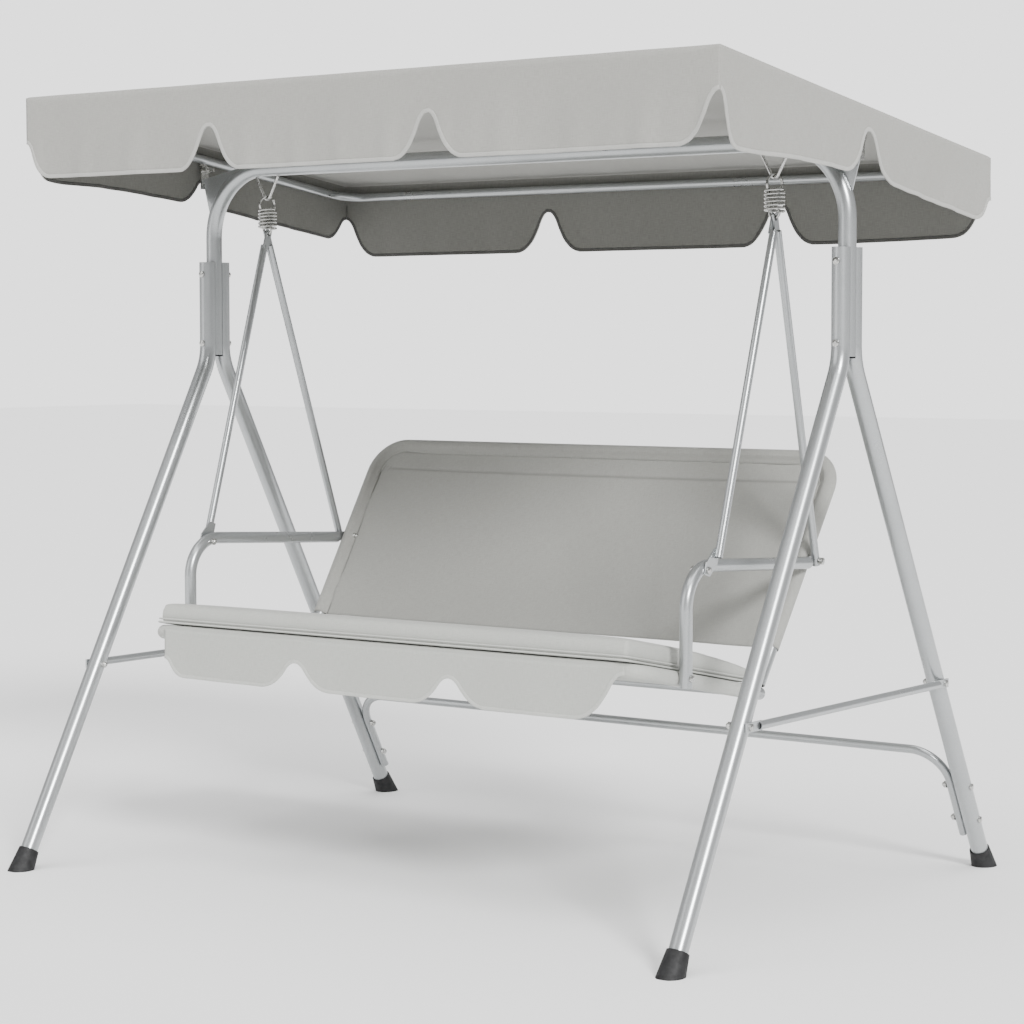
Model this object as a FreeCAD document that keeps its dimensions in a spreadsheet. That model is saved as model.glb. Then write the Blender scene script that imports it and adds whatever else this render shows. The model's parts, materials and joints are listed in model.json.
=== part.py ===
import FreeCAD, Part

import math
import os

import Sketcher

# Free-standing garden swing bench: an A-frame stand with a top rail, a seat hung from it on two
# springs and four rods, and a fabric canopy that tilts on two bolts.
# X runs across the seat, -Y is the front, +Z is up, and the origin is on the floor under the centre.

V = FreeCAD.Vector
doc = FreeCAD.newDocument("swing_bench")

DIMENSIONS = {
    # A-frame legs, seen from the side
    "leg_x": 805, "leg_od": 36, "leg_wall": 1.5, "leg_gap_y": 23, "foot_y": 609, "foot_start": 14,
    "leg_bend_z": 1062, "leg_bend": 120, "leg_top_z": 1279,
    "cap_low_dia": 55, "cap_top_dia": 42, "cap_long": 45,
    # top rail
    "rail_od": 35, "rail_wall": 1.5, "rail_z": 1483, "rail_low_z": 1072, "rail_bend": 150,
    "leg_bolt_low_z": 1098, "leg_bolt_high_z": 1252, "bolt_dia": 8, "bolt_play": 0.45,
    # braces
    "side_brace_x": 825.3, "side_brace_z": 411, "side_brace_od": 16, "brace_flat": 4,
    "rear_brace_x": 777.5, "rear_brace_z": 255.5, "rear_brace_low_z": 72, "rear_brace_od": 18,
    "rear_brace_bend": 75, "rear_bolt_low_z": 108, "rear_bolt_high_z": 182, "tube_wall": 1.2,
    # spring and its wire hanger
    "hang_x": 646, "hang_z": 1415, "wire_dia": 6, "wire_half": 30, "wire_bend": 7, "wire_top_z": 1480,
    "wire_corner": 7.7,
    "coil_od": 42, "coil_wire": 5.5, "coil_top_z": 1393, "coil_low_z": 1350, "hook_lift": 6.5,
    "eye_mean": 11, "hook_turn": 22,
    # hanger rods
    "rod_x": 649, "front_low_x": 645, "rear_low_x": 621, "rod_od": 16, "rod_eye_z": 1338, "tongue_flat": 3, "tongue_wide": 18, "tongue_long": 34,
    "eye_hole": 11, "front_low_y": 206, "front_bolt_y": 226, "front_bolt_z": 673,
    "rear_bolt_y": 213, "rear_bolt_z": 661,
    # armrests
    "arm_x": 625, "arm_od": 25, "arm_y": 280, "arm_front_z": 684, "arm_rear_y": 193, "arm_rear_z": 658,
    "arm_low_z": 456, "arm_bend": 78, "arm_bolt_z": 474, "arm_toe": 1.43, "arm_tongue": 34,
    # seat frame, laid out flat and then tilted
    "seat_x": 606, "seat_rear_x": 582, "seat_od": 25, "seat_front": 425, "seat_back": 62, "seat_z": 417.7, "seat_tilt": 11,
    "seat_corner": 55, "seat_bar_od": 19, "seat_rear_bar": 45,
    # back frame, laid out in its own plane and then reclined
    "back_recline": 33.6, "back_foot_y": 45, "back_foot_z": 409, "back_foot_x": 584,
    "back_top_x": 597, "back_high": 543.9, "back_corner": 70, "back_joint": 48, "back_start": 19,
    # soft parts
    "pad_half": 593, "pad_front": 440, "pad_back": 28, "pad_thick": 45, "pad_low": 14.6,
    "sling_thick": 1.6, "back_sling_thick": 8, "back_sling_low": 112, "skirt_y": 432, "skirt_top": 514,
    "skirt_low": 400, "skirt_notch": 452, "skirt_half": 580, "skirt_notch_left": 222,
    "skirt_notch_right": 187,
    # canopy
    "roof_half": 850, "roof_front": 534, "roof_back": 524, "roof_tilt": 7.4, "roof_z": 1539.6,
    "cloth": 3, "frame_drop": 30.5, "frame_od": 19, "frame_half": 835, "frame_front": 517,
    "frame_back": 507, "frame_corner": 60, "frame_joint_x": 555,
    "pivot_z": 1485, "tab_x": 831, "tab_flat": 3, "tab_round": 11.8, "lug_x": 836,
    "valance_deep": 169, "valance_notch": 80, "valance_side_deep": 131, "front_notch_left": 337,
    "front_notch_right": 211, "rear_notch_left": 251, "rear_notch_right": 353, "side_notch": 10,
}

sheet = doc.addObject("Spreadsheet::Sheet", "Dims")
for row, (alias, number) in enumerate(DIMENSIONS.items(), start=1):
    sheet.set("A%d" % row, alias)
    sheet.set("B%d" % row, str(number))
    sheet.setAlias("B%d" % row, alias)
doc.recompute()


class Size:
    """A length that keeps both its value and the expression that ties it to the sheet."""

    def __init__(self, text, value):
        self.text = text
        self.value = float(value)

    def _join(self, other, sign, value):
        return Size("(%s %s %s)" % (self.text, sign, other.text), value)

    def __add__(self, other):
        other = size(other)
        return self._join(other, "+", self.value + other.value)

    def __sub__(self, other):
        other = size(other)
        return self._join(other, "-", self.value - other.value)

    def __mul__(self, other):
        other = size(other)
        return self._join(other, "*", self.value * other.value)

    def __truediv__(self, other):
        other = size(other)
        return self._join(other, "/", self.value / other.value)

    def __neg__(self):
        return Size("(-1 * %s)" % self.text, -self.value)


def size(given):
    """A cell of the sheet by its alias, or a plain number, as a Size."""
    if isinstance(given, Size):
        return given
    if isinstance(given, str):
        return Size("Dims." + given, getattr(sheet, given))
    return Size(repr(float(given)), given)


def trig(name, angle):
    """A sine, cosine or tangent of an angle in degrees."""
    angle = size(angle)
    return Size("%s(%s)" % (name, angle.text), getattr(math, name)(math.radians(angle.value)))


ROOT = -1        # the sketch's own origin in a constraint
START, END = 1, 2


def sketch_on(body, role, name, offset=None):
    """A sketch on one of the body's own origin planes, moved along the plane's normal."""
    drawing = body.newObject("Sketcher::SketchObject", name)
    plane = [feature for feature in body.Origin.OriginFeatures if feature.Role == role][0]
    drawing.AttachmentSupport = [(plane, "")]
    drawing.MapMode = "FlatFace"
    if offset is not None:
        drawing.setExpression(".AttachmentOffset.Base.z", size(offset).text)
    return drawing


def pin_point(drawing, geometry, position, point):
    """Hold a point of the sketch at two Sizes from the sketch's origin."""
    for kind, distance in zip(("DistanceX", "DistanceY"), point):
        span = (ROOT, 1, geometry, position)
        if distance.value < 0:
            distance, span = -distance, (geometry, position, ROOT, 1)
        index = drawing.addConstraint(Sketcher.Constraint(kind, *span, distance.value))
        drawing.setExpression("Constraints[%d]" % index, distance.text)


def draw_circle(drawing, centre, diameter):
    centre = [size(part) for part in centre]
    diameter = size(diameter)
    circle = drawing.addGeometry(
        Part.Circle(V(centre[0].value, centre[1].value, 0), V(0, 0, 1), diameter.value / 2), False)
    index = drawing.addConstraint(Sketcher.Constraint("Diameter", circle, diameter.value))
    drawing.setExpression("Constraints[%d]" % index, diameter.text)
    pin_point(drawing, circle, 3, centre)


def draw_outline(drawing, points):
    """A closed outline of straight sides whose corners are bound to the sheet."""
    points = [[size(part) for part in point] for point in points]
    flat = [V(point[0].value, point[1].value, 0) for point in points]
    sides = [drawing.addGeometry(Part.LineSegment(flat[i], flat[(i + 1) % len(flat)]), False)
             for i in range(len(flat))]
    for i, side in enumerate(sides):
        drawing.addConstraint(
            Sketcher.Constraint("Coincident", side, END, sides[(i + 1) % len(sides)], START))
        pin_point(drawing, side, START, points[i])


def draw_path(drawing, points, bend):
    """An open path: straight runs through the points, with tangent arcs at the inner ones."""
    points = [[size(part) for part in point] for point in points]
    bend = size(bend)
    corner = [V(point[0].value, point[1].value, 0) for point in points]
    starts, ends = [corner[0]], []
    arcs = []
    for i in range(1, len(corner) - 1):
        back = (corner[i - 1] - corner[i]).normalize()
        ahead = (corner[i + 1] - corner[i]).normalize()
        half = back.getAngle(ahead) / 2
        reach = bend.value / math.tan(half)
        middle = (back + ahead).normalize()
        centre = corner[i] + middle * (bend.value / math.sin(half))
        ends.append(corner[i] + back * reach)
        starts.append(corner[i] + ahead * reach)
        low, high = [math.atan2(point.y - centre.y, point.x - centre.x)
                     for point in (ends[-1], starts[-1])]
        turn = (high - low) % (2 * math.pi)
        leftward = turn < math.pi
        if not leftward:
            low, turn = high, 2 * math.pi - turn
        circle = Part.Circle(centre, V(0, 0, 1), bend.value)
        arcs.append((Part.ArcOfCircle(circle, low, low + turn), leftward))
    ends.append(corner[-1])
    runs = [drawing.addGeometry(Part.LineSegment(low, high), False) for low, high in zip(starts, ends)]
    pin_point(drawing, runs[0], START, points[0])
    pin_point(drawing, runs[-1], END, points[-1])
    for i, (arc, leftward) in enumerate(arcs):
        curve = drawing.addGeometry(arc, False)
        near, far = (START, END) if leftward else (END, START)
        drawing.addConstraint(Sketcher.Constraint("Tangent", runs[i], END, curve, near))
        drawing.addConstraint(Sketcher.Constraint("Tangent", curve, far, runs[i + 1], START))
        index = drawing.addConstraint(Sketcher.Constraint("Radius", curve, bend.value))
        drawing.setExpression("Constraints[%d]" % index, bend.text)
        mark = drawing.addGeometry(Part.Point(corner[i + 1]), True)
        drawing.addConstraint(Sketcher.Constraint("PointOnObject", mark, 1, runs[i]))
        drawing.addConstraint(Sketcher.Constraint("PointOnObject", mark, 1, runs[i + 1]))
        pin_point(drawing, mark, 1, points[i + 1])
    return len(runs) + len(arcs)


def new_body(name):
    body = doc.addObject("PartDesign::Body", name)
    body.Label = name
    return body


def tube(name, role, points, bend, outside, wall):
    """A bent tube or rod: a ring or disc swept along a flat path whose first run lies on an axis."""
    body = new_body(name)
    path = sketch_on(body, role, name + "_path")
    edges = draw_path(path, points, bend)
    first = [size(part) for part in points[0]]
    second = [size(part) for part in points[1]]
    level = abs(first[1].value - second[1].value) < 0.001
    if role == "XY_Plane":
        ends, centre, offset = (("YZ_Plane", (first[1], size(0)), first[0]) if level
                                else ("XZ_Plane", (first[0], size(0)), -first[1]))
    elif role == "XZ_Plane":
        ends, centre, offset = (("YZ_Plane", (size(0), first[1]), first[0]) if level
                                else ("XY_Plane", (first[0], size(0)), first[1]))
    else:
        ends, centre, offset = (("XZ_Plane", (size(0), first[1]), -first[0]) if level
                                else ("XY_Plane", (size(0), first[0]), first[1]))
    ring = sketch_on(body, ends, name + "_ring", offset)
    draw_circle(ring, centre, outside)
    if wall is not None:
        draw_circle(ring, centre, size(outside) - size(wall) * 2)
    doc.recompute()
    sweep = body.newObject("PartDesign::AdditivePipe", name + "_sweep")
    sweep.Profile = ring
    sweep.Spine = (path, ["Edge%d" % (i + 1) for i in range(edges)])
    doc.recompute()
    return body


def plate(name, role, points, thick, offset=None, holes=()):
    """A flat sheet: an outline padded to both sides of its plane, with round holes."""
    body = new_body(name)
    drawing = sketch_on(body, role, name + "_outline", offset)
    draw_outline(drawing, points)
    for centre, diameter in holes:
        draw_circle(drawing, centre, diameter)
    doc.recompute()
    pad = body.newObject("PartDesign::Pad", name + "_pad")
    pad.Profile = drawing
    pad.SideType = "Symmetric"
    pad.setExpression("Length", size(thick).text)
    doc.recompute()
    return body


def drill(body, role, centres, diameter, offset=None, deep=None):
    """Round holes: right through the body both ways, or to a depth below an offset plane."""
    before = body.Shape.Volume
    drawing = sketch_on(body, role, body.Label + "_holes", offset)
    for centre in centres:
        draw_circle(drawing, centre, diameter)
    doc.recompute()
    pocket = body.newObject("PartDesign::Pocket", body.Label + "_drill")
    pocket.Profile = drawing
    if deep is None:
        pocket.SideType = "Symmetric"
        pocket.Type = 1
    else:
        pocket.setExpression("Length", size(deep).text)
    doc.recompute()
    if body.Shape.Volume >= before:
        raise RuntimeError("no hole was cut in " + body.Label)


def flat_end(body, role, points, thick, offset, holes=()):
    """A pressed-flat end of a tube, with its bolt holes, joined to the tube."""
    drawing = sketch_on(body, role, body.Label + "_flat", offset)
    draw_outline(drawing, points)
    for centre, diameter in holes:
        draw_circle(drawing, centre, diameter)
    doc.recompute()
    pad = body.newObject("PartDesign::Pad", body.Label + "_press")
    pad.Profile = drawing
    pad.SideType = "Symmetric"
    pad.setExpression("Length", size(thick).text)
    doc.recompute()


def place(thing, across=None, along=None, up=None, turn_axis=None, turn=None):
    """Bind the placement of a sub-part: a move, and a turn about one axis."""
    if turn_axis is not None:
        thing.Placement = FreeCAD.Placement(V(0, 0, 0), FreeCAD.Rotation(turn_axis, size(turn).value))
        thing.setExpression(".Placement.Rotation.Angle", size(turn).text)
    for axis, given in zip("xyz", (across, along, up)):
        if given is not None:
            thing.setExpression(".Placement.Base." + axis, size(given).text)


def solid_group(name, shapes):
    """Loose pieces of one kind, kept as separate solids in one sub-part."""
    group = doc.addObject("Part::Feature", name)
    group.Label = name
    group.Shape = Part.makeCompound(shapes)
    return group


def cell(alias):
    return float(getattr(sheet, alias))


def ball_bolt(start, direction, long, dia, head_dia, nut_dia, washer=0.3):
    """A screw with a domed head on a washer at its start and a capped nut on its far end."""
    start, long = start - direction * washer, long + washer
    ring = Part.makeCylinder(head_dia / 2, washer, start, direction)
    shank = Part.makeCylinder(dia / 2, long, start, direction)
    dome = Part.makeCylinder(head_dia / 2, HEAD_HIGH, start - direction * HEAD_HIGH, direction)
    crown = Part.makeCone(head_dia / 2, head_dia / 5, HEAD_HIGH * 0.6,
                          start - direction * HEAD_HIGH, -direction)
    nut = Part.makeCylinder(nut_dia / 2, NUT_HIGH, start + direction * long, direction)
    cap = Part.makeSphere(nut_dia / 2.6, start + direction * (long + NUT_HIGH))
    return shank.fuse([ring, dome, crown, nut, cap]).removeSplitter()


HEAD_HIGH = 2.6
NUT_HIGH = 6.0
SIDES = (("left", -1), ("right", 1))
ENDS = (("front", -1), ("rear", 1))
GAP = 0.3
REAR_BOLTS = ("rear_bolt_low_z", "rear_bolt_high_z")
X_AXIS, Y_AXIS, Z_AXIS = V(1, 0, 0), V(0, 1, 0), V(0, 0, 1)

bolt_hole = size("bolt_dia") + size("bolt_play") * 2
leg_run = size("foot_y") - size("leg_gap_y")
leg_slope = leg_run / size("leg_bend_z")


def leg_y(height):
    """How far the middle of a leg stands from the swing's middle at a height."""
    return size("foot_y") - leg_slope * size(height)


# ---- stand: four legs whose tops are dished to hug the top rail between them ----
for side, hand in SIDES:
    for end, toward in ENDS:
        leg = tube("%s_leg_%s" % (end, side), "YZ_Plane",
                   [(size("leg_gap_y") * toward, "leg_top_z"), (size("leg_gap_y") * toward, "leg_bend_z"),
                    (leg_y("foot_start") * toward, "foot_start")], "leg_bend", "leg_od", "leg_wall")
        drill(leg, "XY_Plane", [(0, 0)], size("rail_od") + GAP * 2, size("leg_top_z") + 1,
              size("leg_top_z") - size("rail_low_z") + 4)
        drill(leg, "XZ_Plane", [(0, "leg_bolt_low_z"), (0, "leg_bolt_high_z")], bolt_hole)
        cross = [(leg_y("side_brace_z") * toward, "side_brace_z")]
        if end == "rear":
            cross += [(leg_y(height), height) for height in REAR_BOLTS]
        drill(leg, "YZ_Plane", cross, bolt_hole)
        place(leg, across=size("leg_x") * hand)

# Flared rubber caps, cut level with the floor, with a blind bore for the leg.
lean = math.degrees(math.atan(leg_slope.value))
for side, hand in SIDES:
    for end, toward in ENDS:
        name = "foot_cap_%s_%s" % (end, side)
        tilt = FreeCAD.Rotation(X_AXIS, lean * toward)
        axis = tilt.multVec(Z_AXIS)
        ground = V(cell("leg_x") * hand, cell("foot_y") * toward, 0)
        sunk = 14
        cone = doc.addObject("Part::Cone", name + "_cone")
        cone.setExpression("Radius1", (size("cap_low_dia") / 2).text)
        cone.setExpression("Radius2", (size("cap_top_dia") / 2).text)
        cone.setExpression("Height", (size("cap_long") + sunk).text)
        cone.Placement = FreeCAD.Placement(ground - axis * sunk, tilt)
        bore = doc.addObject("Part::Cylinder", name + "_bore")
        bore.setExpression("Radius", (size("leg_od") / 2 + GAP / 2).text)
        bore.setExpression("Height", (size("cap_long") * 2).text)
        bore.Placement = FreeCAD.Placement(
            ground + axis * (cell("foot_start") / math.cos(math.radians(lean)) - GAP), tilt)
        floor = doc.addObject("Part::Box", name + "_floor")
        for edge in ("Length", "Width", "Height"):
            floor.setExpression(edge, (size("cap_low_dia") * 3).text)
        floor.Placement.Base = ground - V(1, 1, 2) * (cell("cap_low_dia") * 1.5)
        tools = doc.addObject("Part::MultiFuse", name + "_tools")
        tools.Shapes = [bore, floor]
        cap = doc.addObject("Part::Cut", name)
        cap.Base = cone
        cap.Tool = tools
        cap.Label = name

WIRE_ENDS = (-size("wire_half"), size("wire_half"))

# ---- top rail in two halves with a sleeved joint in the middle ----
for side, hand in SIDES:
    reach = size(0) if side == "left" else size(GAP)
    rail = tube("top_rail_" + side, "XZ_Plane",
                [(size("leg_x") * hand, "rail_low_z"), (size("leg_x") * hand, "rail_z"),
                 (reach, "rail_z")], "rail_bend", "rail_od", "rail_wall")
    drill(rail, "XZ_Plane", [(size("leg_x") * hand, "leg_bolt_low_z"),
                             (size("leg_x") * hand, "leg_bolt_high_z")], bolt_hole)
    drill(rail, "XY_Plane", [(size("hang_x") * hand + offset, 0) for offset in WIRE_ENDS],
          size("wire_dia") + GAP * 2, "rail_z", "rail_od")

# Wire hangers: a V of wire whose ends stand up inside the rail.
for side, hand in SIDES:
    middle = size("hang_x") * hand
    tube("spring_hanger_" + side, "XZ_Plane",
         [(middle - size("wire_half"), "wire_top_z"), (middle - size("wire_half"), size("rail_z") - 20),
          (middle, size("hang_z") - "wire_corner"), (middle + size("wire_half"), size("rail_z") - 20),
          (middle + size("wire_half"), "wire_top_z")], "wire_bend", "wire_dia", None)

# Gusset and tab, welded to the outside of each rail bend, that carry the canopy's pivot bolt.
bend_middle_x = size("leg_x") - size("rail_bend")
bend_middle_z = size("rail_z") - size("rail_bend")
bend_outer = size("rail_bend") + size("rail_od") / 2 + 1.3
for side, hand in SIDES:
    along_bend = []
    for angle in (18, 30, 42, 54, 66):
        along_bend.append(((bend_middle_x + bend_outer * trig("cos", angle)) * hand,
                           bend_middle_z + bend_outer * trig("sin", angle)))
    gusset = plate("gusset_" + side, "XZ_Plane",
                   along_bend + [(size("tab_x") * hand - size(GAP * hand), size("pivot_z") - 19),
                                 (size("tab_x") * hand - size(GAP * hand), size("pivot_z") - 42)],
                   "tab_flat")
    low = size("pivot_z") - 42
    turn_points = [(size("tab_round") * trig("cos", angle), size("pivot_z")
                    + size("tab_round") * trig("sin", angle)) for angle in (0, 30, 60, 90, 120, 150, 180)]
    plate("canopy_tab_" + side, "YZ_Plane",
          turn_points + [(-size("tab_round"), low), (size("tab_round"), low)], "tab_flat",
          (size("tab_x") + size("tab_flat") / 2) * hand,
          holes=[((0, "pivot_z"), bolt_hole)])

# ---- braces ----
for side, hand in SIDES:
    hole_y = leg_y("side_brace_z")
    brace = tube("side_brace_" + side, "YZ_Plane",
                 [(-(hole_y - 30), "side_brace_z"), (hole_y - 30, "side_brace_z")], 1,
                 "side_brace_od", "tube_wall")
    half_flat = size("side_brace_od") * 0.55
    for toward in (-1, 1):
        inner, outer = (hole_y - 42) * toward, (hole_y + 12) * toward
        flat_end(brace, "YZ_Plane",
                 [(inner, size("side_brace_z") - half_flat), (outer, size("side_brace_z") - half_flat),
                  (outer, size("side_brace_z") + half_flat), (inner, size("side_brace_z") + half_flat)],
                 "brace_flat", 0, [((hole_y * toward, "side_brace_z"), bolt_hole)])
    place(brace, across=size("side_brace_x") * hand)

# The rear brace is flat in the plane of the rear legs: laid out upright, then leant with them.
for side, hand in SIDES:
    stretch = Size("sqrt(1 + %s * %s)" % (leg_slope.text, leg_slope.text),
                   math.hypot(1, leg_slope.value))
    start = size(0) if side == "left" else size(GAP)
    brace = tube("rear_brace_" + side, "XZ_Plane",
                 [(start, size("rear_brace_z") * stretch),
                  (size("rear_brace_x") * hand, size("rear_brace_z") * stretch),
                  (size("rear_brace_x") * hand, size("rear_brace_low_z") * stretch)],
                 "rear_brace_bend", "rear_brace_od", "tube_wall")
    drill(brace, "YZ_Plane", [(0, size(height) * stretch) for height in REAR_BOLTS], bolt_hole)
    place(brace, along="foot_y", turn_axis=X_AXIS, turn=Size("atan(%s)" % leg_slope.text, lean))


# ---- hung seat: rods, armrests, seat frame and back frame ----
def to_tilted(along, up, angle):
    """A place given from a frame's origin, in that frame's own directions once it leans back."""
    return (along * trig("cos", angle) - up * trig("sin", angle),
            along * trig("sin", angle) + up * trig("cos", angle))


def hung_from_eye(end, low_y, low_z):
    """Length and lean from upright of a rod that runs from its eye down to a place at one end."""
    inward, out, down = size("rod_x") - (end + "_low_x"), size(low_y), size("rod_eye_z") - low_z
    aside = Size("sqrt(%s * %s + %s * %s)" % (inward.text, inward.text, out.text, out.text),
                 math.hypot(inward.value, out.value))
    long = Size("sqrt(%s * %s + %s * %s)" % (aside.text, aside.text, down.text, down.text),
                math.hypot(aside.value, down.value))
    lean = Size("atan(%s / %s)" % (aside.text, down.text),
                math.degrees(math.atan2(aside.value, down.value)))
    return long, lean, inward.value, out.value


half_flat = size("tongue_wide") / 2
for side, hand in SIDES:
    for end, toward in ENDS:
        low_y = "front_low_y" if end == "front" else "rear_bolt_y"
        long, rod_lean, inward, out = hung_from_eye(end, low_y, end + "_bolt_z")
        stop = long - 24 if end == "front" else long + 9
        rod = tube("hanger_rod_%s_%s" % (end, side), "YZ_Plane",
                   [(0, -(size("tongue_long") - 8)), (0, -stop)], 1, "rod_od", "tube_wall")
        eye_shift = (size("hang_x") + 2.0 * toward - size("rod_x")) * hand
        flat_end(rod, "YZ_Plane",
                 [(-half_flat, 9), (-half_flat, -size("tongue_long")), (half_flat, -size("tongue_long")),
                  (half_flat, 9)], "tongue_flat", eye_shift, [((0, 0), "eye_hole")])
        if end == "front":
            # The pressed end turns forwards off the rod's line to meet the armrest's bend.
            aside, below = to_tilted(-(size("front_bolt_y") - "front_low_y"), size(0), rod_lean)
            low_shift = (size("tongue_flat") / 2 - size("rod_od") / 2) * hand
            flat_end(rod, "YZ_Plane",
                     [(half_flat, -(long - 40)), (-half_flat, -(long - 40)), (aside - half_flat, -(long - 8)),
                      (aside - half_flat, below - long - 10), (aside + half_flat, below - long - 10),
                      (half_flat, -(long - 14))], "tongue_flat", low_shift,
                     [((aside, below - long), bolt_hole)])
        else:
            drill(rod, "YZ_Plane", [(0, -long)], bolt_hole)
        place(rod, across=size("rod_x") * hand, along=0, up="rod_eye_z",
              turn_axis=V(out * toward, inward * hand, 0), turn=rod_lean)

for side, hand in SIDES:
    arm = tube("armrest_" + side, "YZ_Plane",
               [(-size("arm_y"), "arm_low_z"), (-size("arm_y"), "arm_front_z"),
                ("arm_rear_y", "arm_rear_z")], "arm_bend", "arm_od", "tube_wall")
    drill(arm, "YZ_Plane", [(-size("arm_y"), "arm_bolt_z"), (-size("front_bolt_y"), "front_bolt_z")],
          bolt_hole)
    tongue_end = size("arm_rear_y") + "arm_tongue"
    low, high = size("rear_bolt_z") - 11, size("rear_bolt_z") + 9
    flat_end(arm, "YZ_Plane",
             [(size("arm_rear_y") - 10, low), (tongue_end, low), (tongue_end, high),
              (size("arm_rear_y") - 10, high)], "tongue_flat", -size(5) * hand,
             [(("rear_bolt_y", "rear_bolt_z"), bolt_hole)])
    toe_x = size("arm_x") - size("arm_y") * trig("sin", "arm_toe")
    place(arm, across=toe_x * hand, along=0, up=0, turn_axis=Z_AXIS, turn=size("arm_toe") * hand)

tilt_back = -size("seat_tilt")
for side, hand in SIDES:
    start = size(0) if side == "left" else size(GAP)
    half = tube("seat_frame_" + side, "XY_Plane",
                [(start, -size("seat_front")), (size("seat_x") * hand, -size("seat_front")),
                 (size("seat_rear_x") * hand, "seat_back")], "seat_corner", "seat_od", "tube_wall")
    arm_bolt = to_tilted(-size("arm_y"), size("arm_bolt_z") - size("seat_z"), "seat_tilt")
    drill(half, "YZ_Plane", [arm_bolt], bolt_hole)
    place(half, along=0, up="seat_z", turn_axis=X_AXIS, turn=tilt_back)

bar_reach = size("seat_rear_x") - size("seat_od") / 2 - 0.5
rear_bar = tube("seat_rear_bar", "XY_Plane", [(-bar_reach, "seat_rear_bar"), (bar_reach, "seat_rear_bar")],
                1, "seat_bar_od", "tube_wall")
place(rear_bar, along=0, up="seat_z", turn_axis=X_AXIS, turn=tilt_back)
centre_bar = tube("seat_centre_bar", "XY_Plane",
                  [(0, -(size("seat_front") - size("seat_od") / 2 - GAP)),
                   (0, size("seat_rear_bar") - size("seat_bar_od") / 2 - GAP)], 1, "seat_bar_od",
                  "tube_wall")
place(centre_bar, along=0, up="seat_z", turn_axis=X_AXIS, turn=tilt_back)

recline = -size("back_recline")
rod_bolt = to_tilted(size("rear_bolt_y") - size("back_foot_y"), size("rear_bolt_z") - size("back_foot_z"),
                     "back_recline")
back_splay = ((size("back_top_x") - "back_foot_x") / (size("back_high") - "back_joint"))
stub_x = size("back_foot_x") - back_splay * (size("back_joint") - "back_start")
for side, hand in SIDES:
    stub = tube("back_stub_" + side, "XZ_Plane",
                [(stub_x * hand, "back_start"), (size("back_foot_x") * hand, "back_joint")], 1,
                "seat_od", "tube_wall")
    place(stub, along="back_foot_y", up="back_foot_z", turn_axis=X_AXIS, turn=recline)
    back = tube("back_frame_" + side, "XZ_Plane",
                [(size("back_foot_x") * hand, size("back_joint") + GAP),
                 (size("back_top_x") * hand, "back_high"), (size(0.5) * hand, "back_high")], "back_corner",
                "seat_od", "tube_wall")
    drill(back, "YZ_Plane", [rod_bolt], bolt_hole)
    place(back, along="back_foot_y", up="back_foot_z", turn_axis=X_AXIS, turn=recline)

# Soft parts of the seat, kept plain: a pad, the cloth it lies on, the back cloth and the front skirt.
def slab(name, low, high):
    """A plain rectangular slab between two corners given as Sizes."""
    box = doc.addObject("Part::Box", name)
    box.Label = name
    for edge, bottom, top in zip(("Length", "Width", "Height"), low, high):
        box.setExpression(edge, (size(top) - size(bottom)).text)
    return box


def lay(box, low, origin_y, origin_z, turn):
    """Put a slab's low corner at a place in a frame that is turned about X."""
    spin = FreeCAD.Rotation(X_AXIS, size(turn).value)
    corner = V(*[size(part).value for part in low])
    box.Placement = FreeCAD.Placement(V(0, origin_y, origin_z) + spin.multVec(corner), spin)


pad_corner = (-size("pad_half"), -size("pad_front"), size("pad_low"))
pad = slab("seat_pad", pad_corner,
           (size("pad_half"), size("pad_back"), size("pad_low") + size("pad_thick")))
lay(pad, pad_corner, 0, cell("seat_z"), tilt_back)

sling_low = size("seat_od") / 2 + GAP
sling_corner = (-size("seat_x"), -size("seat_front"), sling_low)
sling = slab("seat_sling", sling_corner,
             (size("seat_x"), size("seat_back") - 40, sling_low + size("sling_thick")))
lay(sling, sling_corner, 0, cell("seat_z"), tilt_back)

inner_bend = size("back_corner") - size("seat_od") / 2 - GAP
bend_x, bend_z = size("back_top_x") - size("back_corner"), size("back_high") - size("back_corner")
cloth_low_x = size("back_foot_x") + 1.5 - size("seat_od") / 2 - GAP
cloth_mid_x = size("back_foot_x") + 6.2 - size("seat_od") / 2 - GAP
slot_x = cloth_mid_x - 14
edge = [(cloth_low_x, "back_sling_low"), (cloth_mid_x, rod_bolt[1] - 14), (slot_x, rod_bolt[1] - 14),
        (slot_x, rod_bolt[1] + 14), (cloth_mid_x, rod_bolt[1] + 14)]
edge += [(bend_x - 2 + inner_bend * trig("cos", angle), bend_z + inner_bend * trig("sin", angle))
         for angle in (0, 25, 50, 75)]
back_cloth = plate("back_sling", "XZ_Plane", edge + [(-across, up) for across, up in reversed(
    [(size(first), second) for first, second in edge])], "back_sling_thick")
place(back_cloth, along="back_foot_y", up="back_foot_z", turn_axis=X_AXIS, turn=recline)

hem, low, notch = size("skirt_top"), size("skirt_low"), size("skirt_notch")
left_notch, right_notch = -size("skirt_notch_left"), size("skirt_notch_right")
half = size("skirt_half")
plate("seat_skirt", "XZ_Plane",
      [(-half, hem), (-half - 4, low + 50), (-half + 26, low + 6), (left_notch - 90, low),
       (left_notch - 35, low + 22), (left_notch, notch), (left_notch + 35, low + 22),
       (left_notch + 90, low), (right_notch - 90, low), (right_notch - 35, low + 22),
       (right_notch, notch), (right_notch + 35, low + 22), (right_notch + 90, low),
       (half - 70, low + 4), (half - 26, low + 40), (half, hem)], "cloth", "skirt_y")

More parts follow.
